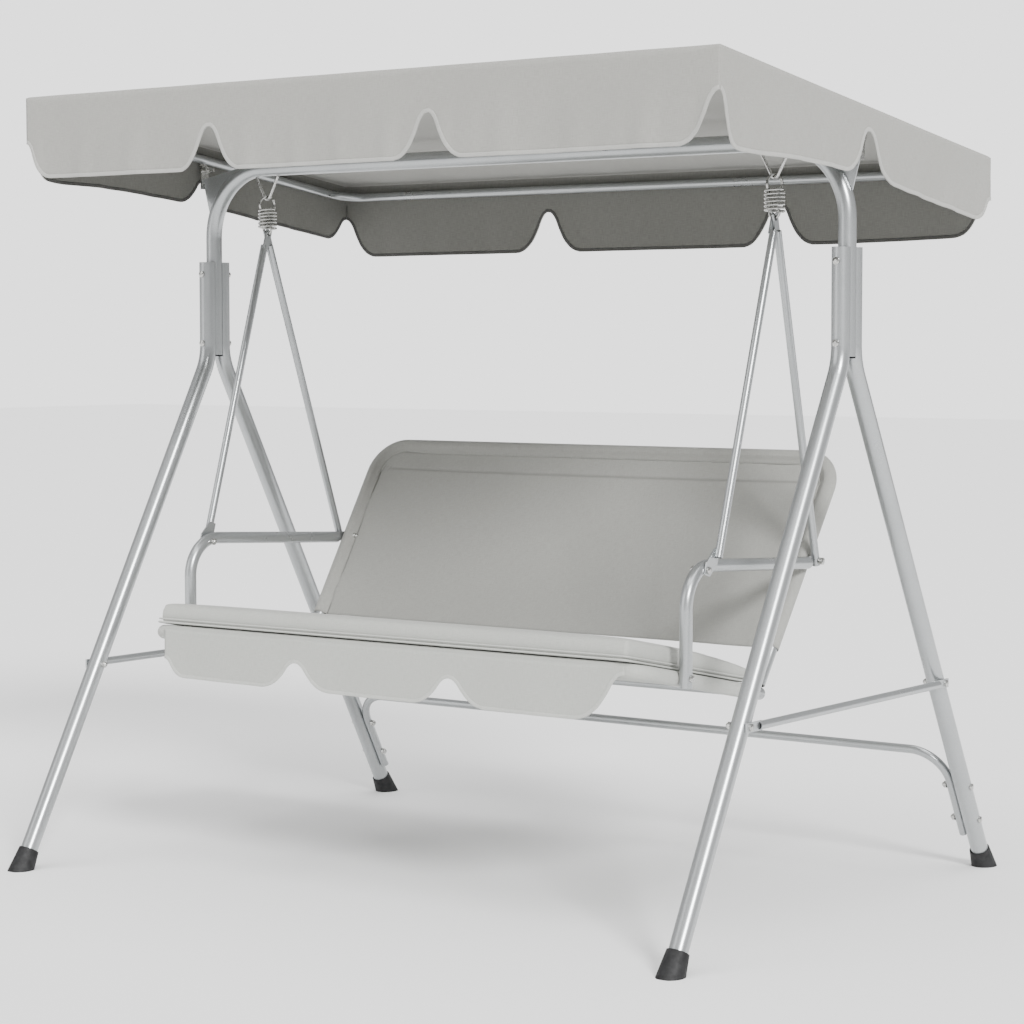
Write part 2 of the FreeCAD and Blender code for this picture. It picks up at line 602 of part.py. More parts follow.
# ---- springs: a close-wound coil, a hook turned up round the hanger, and an eye for the rods ----
ring_mean = (cell("coil_od") - cell("coil_wire")) / 2
wire = cell("coil_wire") / 2
for side, hand in SIDES:
    name = "spring_" + side
    coil = doc.addObject("Part::Cylinder", name + "_coil")
    coil.setExpression("Radius", (size("coil_od") / 2).text)
    coil.setExpression("Height", (size("coil_top_z") - size("coil_low_z")).text)
    coil.Placement.Base = V(0, 0, cell("coil_low_z"))
    hollow = doc.addObject("Part::Cylinder", name + "_hollow")
    hollow.setExpression("Radius", (size("coil_od") / 2 - size("coil_wire")).text)
    hollow.setExpression("Height", (size("coil_top_z") - size("coil_low_z") + 2).text)
    hollow.Placement.Base = V(0, 0, cell("coil_low_z") - 1)
    winding = doc.addObject("Part::Cut", name + "_winding")
    winding.Base = coil
    winding.Tool = hollow
    hook = doc.addObject("Part::Torus", name + "_hook")
    hook.setExpression("Radius1", (size("coil_od") / 2 - size("coil_wire") / 2).text)
    hook.setExpression("Radius2", (size("coil_wire") / 2).text)
    hook.Placement = FreeCAD.Placement(
        V(0, 0, cell("hang_z") + cell("hook_lift") - ring_mean),
        FreeCAD.Rotation(Z_AXIS, -cell("hook_turn")).multiply(FreeCAD.Rotation(Y_AXIS, 90)))
    eye = doc.addObject("Part::Torus", name + "_eye")
    eye.setExpression("Radius1", size("eye_mean").text)
    eye.setExpression("Radius2", (size("coil_wire") / 2).text)
    eye.Placement = FreeCAD.Placement(V(0, 0, cell("rod_eye_z") + cell("eye_mean")),
                                      FreeCAD.Rotation(X_AXIS, 90))
    strut = doc.addObject("Part::Box", name + "_strut")
    strut.setExpression("Length", (size("coil_od") - size("coil_wire")).text)
    strut.setExpression("Width", size("coil_wire").text)
    strut.setExpression("Height", size("coil_wire").text)
    strut.Placement.Base = V(-ring_mean, -wire, cell("coil_low_z"))
    spring = doc.addObject("Part::MultiFuse", name)
    spring.Shapes = [winding, hook, eye, strut]
    spring.Label = name
    place(spring, across=size("hang_x") * hand)

# ---- canopy: a tube frame laid out flat and tilted, with a roof cloth and four lobed valances ----
nose_up = -size("roof_tilt")
for side, hand in SIDES:
    frame = tube("canopy_tube_" + side, "XY_Plane",
                 [(size("frame_joint_x") * hand, -size("frame_front")),
                  (size("frame_half") * hand, -size("frame_front")),
                  (size("frame_half") * hand, "frame_back"), (size("frame_joint_x") * hand, "frame_back")],
                 "frame_corner", "frame_od", "tube_wall")
    place(frame, along=-(size("frame_drop") * trig("sin", "roof_tilt")),
          up=size("roof_z") - size("frame_drop") * trig("cos", "roof_tilt"),
          turn_axis=X_AXIS, turn=nose_up)
for end, toward in ENDS:
    away = -size("frame_front") if end == "front" else size("frame_back")
    straight = tube("canopy_tube_" + end, "XY_Plane",
                    [(-(size("frame_joint_x") - GAP), away), (size("frame_joint_x") - GAP, away)], 1,
                    "frame_od", "tube_wall")
    place(straight, along=-(size("frame_drop") * trig("sin", "roof_tilt")),
          up=size("roof_z") - size("frame_drop") * trig("cos", "roof_tilt"),
          turn_axis=X_AXIS, turn=nose_up)

roof_corner = (-size("roof_half"), -size("roof_front"), -size("cloth"))
roof = slab("canopy_roof", roof_corner, (size("roof_half"), size("roof_back"), 0))
lay(roof, roof_corner, 0, cell("roof_z"), nose_up)


def roof_line(along):
    """Height of the roof's underside edge at a distance back from the middle."""
    return size("roof_z") - size(along) * trig("tan", "roof_tilt") - size("cloth") * 1.5


def end_valance(name, along, left, right):
    """A front or rear valance with three lobes between two notches."""
    top = roof_line(along)
    side_x = size("roof_half")
    low = top - size("valance_deep")
    high = top - size("valance_notch")
    points = [(-side_x, top), (-side_x, high), (-side_x + 40, low)]
    for notch in (-size(left), size(right)):
        points += [(notch - 95, low), (notch - 40, low + 25), (notch, high), (notch + 40, low + 25),
                   (notch + 95, low)]
    points += [(side_x - 40, low), (side_x, high), (side_x, top)]
    return plate(name, "XZ_Plane", points, "cloth", -size(along))


end_valance("valance_front", -(size("roof_front") - 2), "front_notch_left", "front_notch_right")
end_valance("valance_rear", size("roof_back") - 2, "rear_notch_left", "rear_notch_right")

front_edge, rear_edge = -(size("roof_front") - 6), size("roof_back") - 6
middle = size("side_notch")
for side, hand in SIDES:
    deep, shallow, notch = "valance_deep", "valance_side_deep", "valance_notch"
    profile = [(front_edge, 0), (front_edge, notch), (front_edge + 45, deep), (middle - 95, shallow),
               (middle - 45, size(shallow) - 25), (middle, notch), (middle + 45, size(shallow) - 15),
               (middle + 110, shallow), (rear_edge - 75, shallow), (rear_edge, notch), (rear_edge, 0)]
    plate("valance_" + side, "YZ_Plane",
          [(along, roof_line(along) - size(drop)) for along, drop in profile], "cloth",
          (size("roof_half") + size("cloth") / 2 + GAP) * hand)

# Lugs under the side tubes, by which the canopy turns on its two pivot bolts.
tube_low = (size("roof_z") - size("frame_drop") * trig("cos", "roof_tilt")
            - size("frame_od") / 2 - 0.6)
for side, hand in SIDES:
    plate("canopy_lug_" + side, "YZ_Plane",
          [(-11, tube_low + 1.4), (-11, size("pivot_z") - 6), (-6, size("pivot_z") - 11),
           (6, size("pivot_z") - 11), (11, size("pivot_z") - 6), (11, tube_low - 1.6)], "tab_flat",
          size("lug_x") * hand, holes=[((0, "pivot_z"), size("bolt_dia") + 0.2)])

# ---- screws, nuts and sleeves, grouped by kind ----
dia = cell("bolt_dia")
head = 14.0

leg_face = cell("leg_gap_y") + cell("leg_od") / 2
solid_group("leg_bolts", [
    ball_bolt(V(cell("leg_x") * hand, -leg_face, cell(height)), Y_AXIS, leg_face * 2, dia, head, head)
    for side, hand in SIDES for height in ("leg_bolt_low_z", "leg_bolt_high_z")])

outside = cell("side_brace_x") + cell("brace_flat") / 2
leg_inner, leg_outer = [cell("leg_x") + cell("leg_od") / 2 * toward for toward in (-1, 1)]
brace_inner = cell("rear_brace_x") - cell("rear_brace_od") / 2
brace_bolts = []
for side, hand in SIDES:
    for end, toward in ENDS:
        start = V(outside * hand, leg_y("side_brace_z").value * toward, cell("side_brace_z"))
        brace_bolts.append(ball_bolt(start, X_AXIS * -hand, outside - leg_inner, dia, head, head))
    for height in REAR_BOLTS:
        start = V(leg_outer * hand, leg_y(height).value, cell(height))
        brace_bolts.append(ball_bolt(start, X_AXIS * -hand, leg_outer - brace_inner, dia, head, head))
solid_group("brace_bolts", brace_bolts)



def arm_middle(along):
    """How far out the armrest's middle stands at a distance back, with its toe-in."""
    return cell("arm_x") - (along + cell("arm_y")) * math.sin(math.radians(cell("arm_toe")))


arm_round, seat_round = cell("arm_od") / 2, cell("seat_od") / 2
tongue_outer = cell("front_low_x") - cell("rod_od") / 2 + cell("tongue_flat") + 0.3
seat_bolts = [(tongue_outer, -cell("front_bolt_y"), cell("front_bolt_z"),
               arm_middle(-cell("front_bolt_y")) - arm_round - 0.2, 0.3),
              (cell("rear_low_x") + cell("rod_od") / 2 + 0.3, cell("rear_bolt_y"), cell("rear_bolt_z"),
               cell("back_foot_x") + 6.2 - seat_round - 0.3, 6.0),
              (cell("arm_x") + arm_round, -cell("arm_y"), cell("arm_bolt_z"),
               cell("seat_x") - 7.5 - seat_round, 0.3)]
solid_group("seat_bolts", [
    ball_bolt(V(outside * hand, along, up), X_AXIS * -hand, outside - inside, dia, head, head, washer)
    for side, hand in SIDES for outside, along, up, inside, washer in seat_bolts])


def sleeve(middle, direction, long, outside, wall):
    """A short tube centred on a joint, that the two joined tubes push over."""
    start = middle - direction * (long / 2)
    return Part.makeCylinder(outside / 2, long, start, direction).cut(
        Part.makeCylinder(outside / 2 - wall, long, start, direction))


def turned(shape, along, up, degrees):
    """A shape laid out flat, leant about X and moved to its frame's origin."""
    shape.Placement = FreeCAD.Placement(V(0, along, up), FreeCAD.Rotation(X_AXIS, degrees))
    return shape


wall = cell("tube_wall")
seat_inside = cell("seat_od") - 2 * wall - 2 * GAP
brace_inside = cell("rear_brace_od") - 2 * wall - 2 * GAP
canopy_inside = cell("frame_od") - 2 * wall - 2 * GAP
rail_inside = cell("rail_od") - 2 * cell("rail_wall") - 2 * GAP
solid_group("stand_joint_sleeves", [
    sleeve(V(0, 0, cell("rail_z")), X_AXIS, 120, rail_inside, cell("rail_wall")),
    sleeve(V(0, leg_y("rear_brace_z").value, cell("rear_brace_z")), X_AXIS, 80, brace_inside, wall)])
seat_sleeves = [turned(sleeve(V(0, -cell("seat_front"), 0), X_AXIS, 80, seat_inside, wall), 0,
                       cell("seat_z"), -cell("seat_tilt"))]
for middle, direction in [(V(0, 0, cell("back_high")), X_AXIS)] + [
        (V(cell("back_foot_x") * hand, 0, cell("back_joint")), V(back_splay.value * hand, 0, 1))
        for side, hand in SIDES]:
    seat_sleeves.append(turned(sleeve(middle, direction, 60, seat_inside, wall), cell("back_foot_y"),
                               cell("back_foot_z"), -cell("back_recline")))
solid_group("seat_joint_sleeves", seat_sleeves)
tilt = math.radians(cell("roof_tilt"))
solid_group("canopy_joint_sleeves", [
    turned(sleeve(V(cell("frame_joint_x") * hand, away, 0), X_AXIS, 70, canopy_inside, wall),
           -cell("frame_drop") * math.sin(tilt), cell("roof_z") - cell("frame_drop") * math.cos(tilt),
           -cell("roof_tilt"))
    for side, hand in SIDES for away in (-cell("frame_front"), cell("frame_back"))])

pivot_outer = cell("lug_x") + cell("tab_flat") / 2 + 0.5
pivot_long = 34.0
wing_gap = 0.5
bolts = []
for side, hand in SIDES:
    start = V(pivot_outer * hand, 0, cell("pivot_z"))
    inward = X_AXIS * -hand
    shank = Part.makeCylinder(dia / 2, pivot_long, start, inward)
    cap_screw = Part.makeCylinder(head / 2, HEAD_HIGH, start - inward * HEAD_HIGH, inward)
    bolts.append(shank.fuse(cap_screw).removeSplitter())
    seat_face = V((cell("tab_x") - wing_gap) * hand, 0, cell("pivot_z"))
    hub = Part.makeCylinder(7.5, 9, seat_face, inward)
    blade = Part.makeBox(3, 28, 9, V(-1.5, -14, 0))
    blade.Placement = FreeCAD.Placement(seat_face + inward * 5, FreeCAD.Rotation(Z_AXIS, inward))
    bore = Part.makeCylinder(dia / 2 + 0.1, 20, seat_face - inward * 2, inward)
    wing = doc.addObject("Part::Feature", "wing_nut_" + side)
    wing.Label = "wing_nut_" + side
    wing.Shape = hub.fuse(blade).cut(bore).removeSplitter()
solid_group("canopy_pivot_bolts", bolts)


# ---- check every object, then write each sub-part ----
NODES = [thing for thing in doc.Objects
         if thing.TypeId == "PartDesign::Body" or thing.TypeId in ("Part::Feature", "Part::MultiFuse",
                                                                    "Part::Cut", "Part::Box")]
INNER = {name for thing in NODES if thing.TypeId in ("Part::MultiFuse", "Part::Cut")
         for name in [tool.Name for tool in thing.OutList]}
NODES = [thing for thing in NODES if thing.Name not in INNER]
doc.recompute()
for thing in doc.Objects:
    if "Invalid" in thing.State or "Error" in thing.State:
        raise RuntimeError("%s failed: %s" % (thing.Label, thing.State))
os.makedirs("parts", exist_ok=True)
for thing in NODES:
    if thing.Shape.isNull() or not thing.Shape.isValid() or thing.Shape.Volume <= 0:
        raise RuntimeError(thing.Label + " has no sound shape")
    thing.Shape.exportStep("parts/%s.step" % thing.Label)
    print("%-24s %10.0f mm3 %2d solid(s)" % (thing.Label, thing.Shape.Volume, len(thing.Shape.Solids)))
print(len(NODES), "sub-parts")
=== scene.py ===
import json
import math

import bmesh
import bpy
import numpy as np
from mathutils import Matrix, Vector


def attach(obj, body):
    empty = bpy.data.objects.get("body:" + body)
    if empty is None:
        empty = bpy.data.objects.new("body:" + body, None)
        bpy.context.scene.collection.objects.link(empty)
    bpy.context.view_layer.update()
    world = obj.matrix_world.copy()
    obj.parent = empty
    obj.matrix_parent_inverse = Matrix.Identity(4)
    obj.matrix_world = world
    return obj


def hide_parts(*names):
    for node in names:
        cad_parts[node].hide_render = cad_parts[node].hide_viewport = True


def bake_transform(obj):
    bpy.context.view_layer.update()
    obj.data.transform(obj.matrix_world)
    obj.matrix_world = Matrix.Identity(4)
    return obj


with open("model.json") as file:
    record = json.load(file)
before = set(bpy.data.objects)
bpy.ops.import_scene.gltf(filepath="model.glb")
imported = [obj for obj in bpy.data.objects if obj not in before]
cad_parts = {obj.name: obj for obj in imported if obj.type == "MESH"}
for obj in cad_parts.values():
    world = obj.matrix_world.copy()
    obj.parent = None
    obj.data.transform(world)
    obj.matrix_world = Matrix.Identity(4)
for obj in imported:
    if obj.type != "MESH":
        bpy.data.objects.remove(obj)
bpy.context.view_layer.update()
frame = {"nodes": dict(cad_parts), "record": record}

# A free-standing garden swing bench. The tubes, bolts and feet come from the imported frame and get
# their finishes here. The canopy, back, seat, pad, skirt and springs are made here.

# ---- sizes, in metres ----
ROOF_ORIGIN = Vector((0, 0, 1.5396))       # middle of the roof cloth
ROOF_SLOPE = math.radians(7.4)             # down towards the rear
ROOF_HALF, ROOF_FRONT, ROOF_BACK = 0.848, -0.532, 0.522
ROOF_SAG = 0.006

SEAT_ORIGIN = Vector((0, 0, 0.4177))
SEAT_TILT = math.radians(11)               # down towards the rear
BACK_ORIGIN = Vector((0, 0.045, 0.409))
BACK_RECLINE = math.radians(33.6)          # from upright

CLOTH = 0.0012                             # thickness of each cloth
TUBE = 0.0125                              # radius of the seat's and back's tube


# ---- finishes ----
def new_finish(name, **values):
    """A node material; values are set on the shader's own sockets."""
    finish = bpy.data.materials.new(name)
    finish.use_nodes = True
    shader = finish.node_tree.nodes["Principled BSDF"]
    for socket, value in values.items():
        shader.inputs[socket.replace("_", " ")].default_value = value
    return finish, finish.node_tree, shader


def node(tree, kind, **settings):
    made = tree.nodes.new(kind)
    for key, value in settings.items():
        setattr(made, key, value)
    return made


def noise(tree, place, scale, detail=4.0, roughness=0.55, stretch=None):
    """Noise over a coordinate output, as a 0 to 1 value; stretch scales each direction."""
    texture = node(tree, "ShaderNodeTexNoise")
    texture.inputs["Scale"].default_value = scale
    texture.inputs["Detail"].default_value = detail
    texture.inputs["Roughness"].default_value = roughness
    if stretch:
        mapping = node(tree, "ShaderNodeMapping")
        mapping.inputs["Scale"].default_value = stretch
        tree.links.new(place, mapping.inputs["Vector"])
        place = mapping.outputs["Vector"]
    tree.links.new(place, texture.inputs["Vector"])
    return texture.outputs["Fac"]


def ramp(tree, value, low, high, low_at=0.0, high_at=1.0):
    """Two colours or greys spread over part of a 0 to 1 value."""
    made = node(tree, "ShaderNodeValToRGB")
    for stop, place, colour in zip(made.color_ramp.elements, (low_at, high_at), (low, high)):
        stop.position = place
        stop.color = (*colour, 1) if hasattr(colour, "__len__") else (colour, colour, colour, 1)
    tree.links.new(value, made.inputs["Fac"])
    return made.outputs["Color"]


MIX_SHARE, MIX_FIRST, MIX_SECOND, MIX_RESULT = 0, 6, 7, 2      # a Mix node's colour sockets


def blend_colours(tree, first, second, share):
    """Mixes two colour outputs, or plain colours, by a value output or a number."""
    mix = node(tree, "ShaderNodeMix", data_type="RGBA")
    for socket, given in ((MIX_SHARE, share), (MIX_FIRST, first), (MIX_SECOND, second)):
        if hasattr(given, "is_output"):
            tree.links.new(given, mix.inputs[socket])
        elif hasattr(given, "__len__"):
            mix.inputs[socket].default_value = (*given, 1)
        else:
            mix.inputs[socket].default_value = given
    return mix.outputs[MIX_RESULT]


def combine(tree, kind, first, second):
    """A Math node on two values."""
    made = node(tree, "ShaderNodeMath", operation=kind)
    for socket, given in enumerate((first, second)):
        if hasattr(given, "is_output"):
            tree.links.new(given, made.inputs[socket])
        else:
            made.inputs[socket].default_value = given
    return made.outputs[0]


def bump(tree, shader, height, strength, distance):
    made = node(tree, "ShaderNodeBump")
    made.inputs["Strength"].default_value = strength
    made.inputs["Distance"].default_value = distance
    tree.links.new(height, made.inputs["Height"])
    tree.links.new(made.outputs["Normal"], shader.inputs["Normal"])


def object_place(tree):
    return node(tree, "ShaderNodeTexCoord").outputs["Object"]


def powder_coat():
    """Silver powder coat: a fine orange peel, a metallic flake and faint rubbing."""
    finish, tree, shader = new_finish("silver_powder_coat", Metallic=0.8, Roughness=0.3,
                                      Coat_Weight=0.35, Coat_Roughness=0.12)
    place = object_place(tree)
    flake = ramp(tree, noise(tree, place, scale=900, detail=2), (0.36, 0.375, 0.38),
                 (0.47, 0.485, 0.49), low_at=0.35, high_at=0.65)
    cloudy = noise(tree, place, scale=6, detail=5)
    rubbed = ramp(tree, cloudy, 0.0, 0.5, low_at=0.5, high_at=0.8)
    tree.links.new(blend_colours(tree, flake, (0.34, 0.352, 0.357), rubbed),
                   shader.inputs["Base Color"])
    tree.links.new(ramp(tree, cloudy, 0.26, 0.36, low_at=0.3, high_at=0.7),
                   shader.inputs["Roughness"])
    bump(tree, shader, noise(tree, place, scale=420, detail=3), strength=0.12, distance=0.0004)
    return finish


def plated_steel(name, light, dark, roughness):
    """Zinc plating: bright with a faint crystal mottle and darker handling marks."""
    finish, tree, shader = new_finish(name, Metallic=1.0, Roughness=roughness)
    place = object_place(tree)
    cells = node(tree, "ShaderNodeTexVoronoi")
    cells.inputs["Scale"].default_value = 320
    tree.links.new(place, cells.inputs["Vector"])
    mottle = ramp(tree, cells.outputs["Distance"], dark, light, low_at=0.1, high_at=0.6)
    marks = ramp(tree, noise(tree, place, scale=60, detail=6), 0.0, 0.6, low_at=0.45, high_at=0.8)
    tree.links.new(blend_colours(tree, mottle, dark, marks), shader.inputs["Base Color"])
    worn = noise(tree, place, scale=140, detail=4)
    tree.links.new(ramp(tree, worn, roughness - 0.06, roughness + 0.12, low_at=0.3, high_at=0.7),
                   shader.inputs["Roughness"])
    bump(tree, shader, noise(tree, place, scale=500, detail=4), strength=0.15, distance=0.0003)
    return finish


def moulded_rubber():
    """Black rubber: matt, finely grained and a little dusty."""
    finish, tree, shader = new_finish("black_moulded_rubber", Roughness=0.62,
                                      Specular_IOR_Level=0.35)
    place = object_place(tree)
    dust = ramp(tree, noise(tree, place, scale=70, detail=6), (0.008, 0.008, 0.0085),
                (0.022, 0.022, 0.023), low_at=0.4, high_at=0.75)
    tree.links.new(dust, shader.inputs["Base Color"])
    worn = noise(tree, place, scale=90, detail=4)
    tree.links.new(ramp(tree, worn, 0.5, 0.72, low_at=0.3, high_at=0.7),
                   shader.inputs["Roughness"])
    bump(tree, shader, noise(tree, place, scale=1400, detail=2), strength=0.3, distance=0.0003)
    return finish


WAVE_LENGTH = 0.314                # a wave texture's period at a scale of 1
THREAD_SHADE = 0.25                # how much darker the weave's crossings are
# Painted shade along a seam's groove: its darkness as a share of the dark colour, and how much of
# it shows.
SEAM_GROOVE_SHADE, SEAM_GROOVE_SHADE_SHARE = 0.62, 0.55
SLUB_RANGE = dict(low_at=0.38, high_at=0.6)


def woven_cloth(name, light, dark, thread=0.0011, sheen=0.25, inside=None):
    """Plain-woven polyester on a UV map in metres: crossing threads, faint slubs, a soft cloudy
    tone.
    inside is the dark and light colour of painted shade on the cloth's back, on faces marked as
    inside."""
    finish, tree, shader = new_finish(name, Roughness=0.82, Sheen_Weight=sheen,
                                      Sheen_Roughness=0.5, Specular_IOR_Level=0.25)
    place = node(tree, "ShaderNodeUVMap", uv_map="weave").outputs["UV"]
    threads = []
    for direction in ("X", "Y"):
        wave = node(tree, "ShaderNodeTexWave", wave_type="BANDS", bands_direction=direction,
                    wave_profile="SIN")
        wave.inputs["Scale"].default_value = WAVE_LENGTH / thread
        wave.inputs["Distortion"].default_value = 0.6
        wave.inputs["Detail"].default_value = 1.0
        tree.links.new(place, wave.inputs["Vector"])
        threads.append(wave.outputs["Fac"])
    weave = combine(tree, "MULTIPLY", *threads)
    lengthways, crossways = [noise(tree, place, scale=60, detail=3, stretch=stretch)
                             for stretch in ((1, 14, 1), (14, 1, 1))]
    slubs = blend_colours(tree, lengthways, crossways, 0.5)
    cloudy = ramp(tree, noise(tree, place, scale=5, detail=4), 0.0, 0.35, low_at=0.45, high_at=0.75)
    colour = blend_colours(tree, ramp(tree, slubs, dark, light, **SLUB_RANGE), dark, cloudy)
    colour = blend_colours(tree, colour, dark, combine(tree, "MULTIPLY", weave, THREAD_SHADE))
    # Painted shade: faces marked as inside take the darker inside colour.
    if inside:
        painted_inside_shade = ramp(tree, slubs, *inside, **SLUB_RANGE)
        side = node(tree, "ShaderNodeAttribute", attribute_name="inside").outputs["Fac"]
        colour = blend_colours(tree, colour, painted_inside_shade, side)
    # Painted shade along a seam's groove, on points marked by the line of stitches.
    stitch_ridge_and_shade = node(tree, "ShaderNodeAttribute", attribute_name="stitch_ridge_and_shade").outputs["Fac"]
    colour = blend_colours(tree, colour, tuple(part * SEAM_GROOVE_SHADE for part in dark),
                           combine(tree, "MULTIPLY", stitch_ridge_and_shade, SEAM_GROOVE_SHADE_SHARE))
    tree.links.new(colour, shader.inputs["Base Color"])
    bump(tree, shader, combine(tree, "ADD", weave, slubs), strength=0.25, distance=0.0004)
    return finish


FINE_THREAD = 0.0007
SILVER = powder_coat()
ZINC = plated_steel("zinc_plated_steel", (0.60, 0.60, 0.58), (0.36, 0.36, 0.35), 0.22)
SPRING = plated_steel("plated_spring_wire", (0.52, 0.52, 0.50), (0.30, 0.30, 0.29), 0.22)
RUBBER = moulded_rubber()
SEAT_CLOTH = woven_cloth("seat_cloth_weave", (0.44, 0.447, 0.418), (0.37, 0.377, 0.35))
BACK_CLOTH = woven_cloth("back_cloth_weave", (0.345, 0.345, 0.322), (0.29, 0.29, 0.27))
# The canopy cloth's and the binding's inside colours are painted shade on their inner faces.
CANOPY_CLOTH = woven_cloth("canopy_cloth_weave", (0.345, 0.341, 0.318), (0.29, 0.287, 0.268),
                           sheen=0.12, inside=((0.135, 0.135, 0.122), (0.175, 0.175, 0.16)))
BINDING = woven_cloth("binding_tape", (0.41, 0.408, 0.385), (0.35, 0.348, 0.33), FINE_THREAD,
                      inside=((0.05, 0.05, 0.046), (0.08, 0.08, 0.074)))
SEAT_BINDING = woven_cloth("seat_binding_tape", (0.48, 0.487, 0.46), (0.41, 0.417, 0.39),
                           FINE_THREAD)

SLOT_FINISH = {"silver_tube": SILVER, "zinc_steel": ZINC, "spring_steel": SPRING,
               "black_rubber": RUBBER, "seat_cloth": SEAT_CLOTH, "back_cloth": BACK_CLOTH,
               "canopy_cloth": CANOPY_CLOTH}
for part in frame["record"]["subparts"]:
    shape = frame["nodes"][part["node"]]
    for slot in shape.material_slots:
        slot.material = SLOT_FINISH[part["material_slot"]]


# ---- places in the tilted frames ----
def leant(origin, angle):
    """Turns a place in a frame that leans back by an angle about X into the row frame."""
    turn = np.array(Matrix.Rotation(-angle, 3, "X"))
    start = np.array(origin)

    def to_row(points):
        return np.asarray(points, float) @ turn.T + start
    return to_row


on_roof = leant(ROOF_ORIGIN, ROOF_SLOPE)
on_seat = leant(SEAT_ORIGIN, SEAT_TILT)
on_back = leant(BACK_ORIGIN, BACK_RECLINE)


# ---- cloth ----
def cloth_grid(name, points, weave, finish, close=False, flip=False):
    """A sheet from a grid of points, with the weave's UV map in metres. close joins the last row to
    the first."""
    points, weave = np.asarray(points, float), np.asarray(weave, float)
    rows, columns = points.shape[:2]
    mesh = bpy.data.meshes.new(name)
    faces = []
    for row in range(rows if close else rows - 1):
        after = (row + 1) % rows
        for column in range(columns - 1):
            face = (row * columns + column, row * columns + column + 1,
                    after * columns + column + 1, after * columns + column)
            faces.append(face[::-1] if flip else face)
    mesh.from_pydata(points.reshape(-1, 3).tolist(), [], faces)
    layer = mesh.uv_layers.new(name="weave")
    corner = np.zeros(len(mesh.loops), int)
    mesh.loops.foreach_get("vertex_index", corner)
    layer.data.foreach_set("uv", weave.reshape(-1, 2)[corner].ravel())
    piece = bpy.data.objects.new(name, mesh)
    bpy.context.collection.objects.link(piece)
    mesh.materials.append(finish)
    mesh.polygons.foreach_set("use_smooth", [True] * len(mesh.polygons))
    return piece


def only(*pieces):
    """Selects these pieces alone, the first as the active one."""
    bpy.ops.object.select_all(action="DESELECT")
    for piece in pieces:
        piece.select_set(True)
    bpy.context.view_layer.objects.active = pieces[0]


def joined(name, pieces):
    only(*pieces)
    bpy.ops.object.join()
    pieces[0].name = name
    pieces[0].data.name = name
    return pieces[0]


def edited(piece, *steps):
    """Runs mesh operators, each given with its settings, on all of a piece."""
    only(piece)
    bpy.ops.object.mode_set(mode="EDIT")
    for step, settings in steps:
        bpy.ops.mesh.select_all(action="SELECT")
        step(**settings)
    bpy.ops.object.mode_set(mode="OBJECT")
    return piece


def weld(distance):
    """The step that joins points this close together."""
    return bpy.ops.mesh.remove_doubles, dict(threshold=distance)


FACE_OUT = bpy.ops.mesh.normals_make_consistent, dict(inside=False)
FILL_ENDS = bpy.ops.mesh.fill_holes, dict(sides=20)


def thickened(piece, thickness):
    """Gives a sheet its thickness, marking the back faces as its inside."""
    mesh = piece.data
    outer = len(mesh.polygons)
    solid = piece.modifiers.new("thickness", "SOLIDIFY")
    solid.thickness, solid.offset, solid.use_even_offset = thickness, 0.0, False
    only(piece)
    bpy.ops.object.modifier_apply(modifier=solid.name)
    inside = np.zeros(len(mesh.polygons), np.float32)
    inside[outer:2 * outer] = 1.0
    mesh.attributes.new("inside", "FLOAT", "FACE").data.foreach_set("value", inside)
    return piece


def smooth_line(stops, places):
    """A rounded line through (place, height) stops, read at the places."""
    along, height = np.array(stops, float).T
    slope = np.zeros(len(along))
    step = np.diff(height) / np.diff(along)
    for index in range(1, len(along) - 1):
        before, after = step[index - 1], step[index]
        slope[index] = 0 if before * after <= 0 else 2 * before * after / (before + after)
    slope[0], slope[-1] = step[0], step[-1]
    places = np.clip(places, along[0], along[-1])
    index = np.clip(np.searchsorted(along, places) - 1, 0, len(along) - 2)
    run = along[index + 1] - along[index]
    t = (places - along[index]) / run
    return ((2 * t**3 - 3 * t**2 + 1) * height[index] + (t**3 - 2 * t**2 + t) * run * slope[index]
            + (3 * t**2 - 2 * t**3) * height[index + 1] + (t**3 - t**2) * run * slope[index + 1])


TAPE_FOLD, TAPE_LIP = 0.0008, 0.0006       # how far a tape stands past the edge, and its hem
LOOKS_IN = -0.3                            # faces turned this far from the outside count as inside


def tape(name, line, inward, outward, width, thickness, finish):
    """A strip of binding folded over an edge: a flat loop swept along the edge line."""
    line, inward, outward = [np.asarray(part, float) for part in (line, inward, outward)]
    front = [(-TAPE_FOLD / 2, 0.5), (TAPE_FOLD, 0.5), (width / 2, 0.5), (width, 0.5),
             (width + TAPE_LIP, 0.25)]
    profile = [(-TAPE_FOLD, 0.0), *front, *[(across, -side) for across, side in reversed(front)]]
    along = np.concatenate([[0], np.cumsum(np.linalg.norm(np.diff(line, axis=0), axis=1))])
    grid = [[point + inner * across + outer * (side * thickness)
             for point, inner, outer in zip(line, inward, outward)] for across, side in profile]
    weave = [[(far, across) for far in along] for across, _ in profile]
    piece = cloth_grid(name, grid, weave, finish, close=True)
    mesh = bmesh.new()
    mesh.from_mesh(piece.data)
    bmesh.ops.holes_fill(mesh, edges=[edge for edge in mesh.edges if edge.is_boundary])
    bmesh.ops.recalc_face_normals(mesh, faces=mesh.faces)
    mesh.to_mesh(piece.data)
    mesh.free()
    # Faces that look inward are marked as inside; a binding with an inside colour paints shade
    # there.
    facing = np.array([face.normal for face in piece.data.polygons], float)
    looks_in = (facing @ np.mean(outward, axis=0) < LOOKS_IN).astype(np.float32)
    piece.data.attributes.new("inside", "FLOAT", "FACE").data.foreach_set("value", looks_in)
    return piece


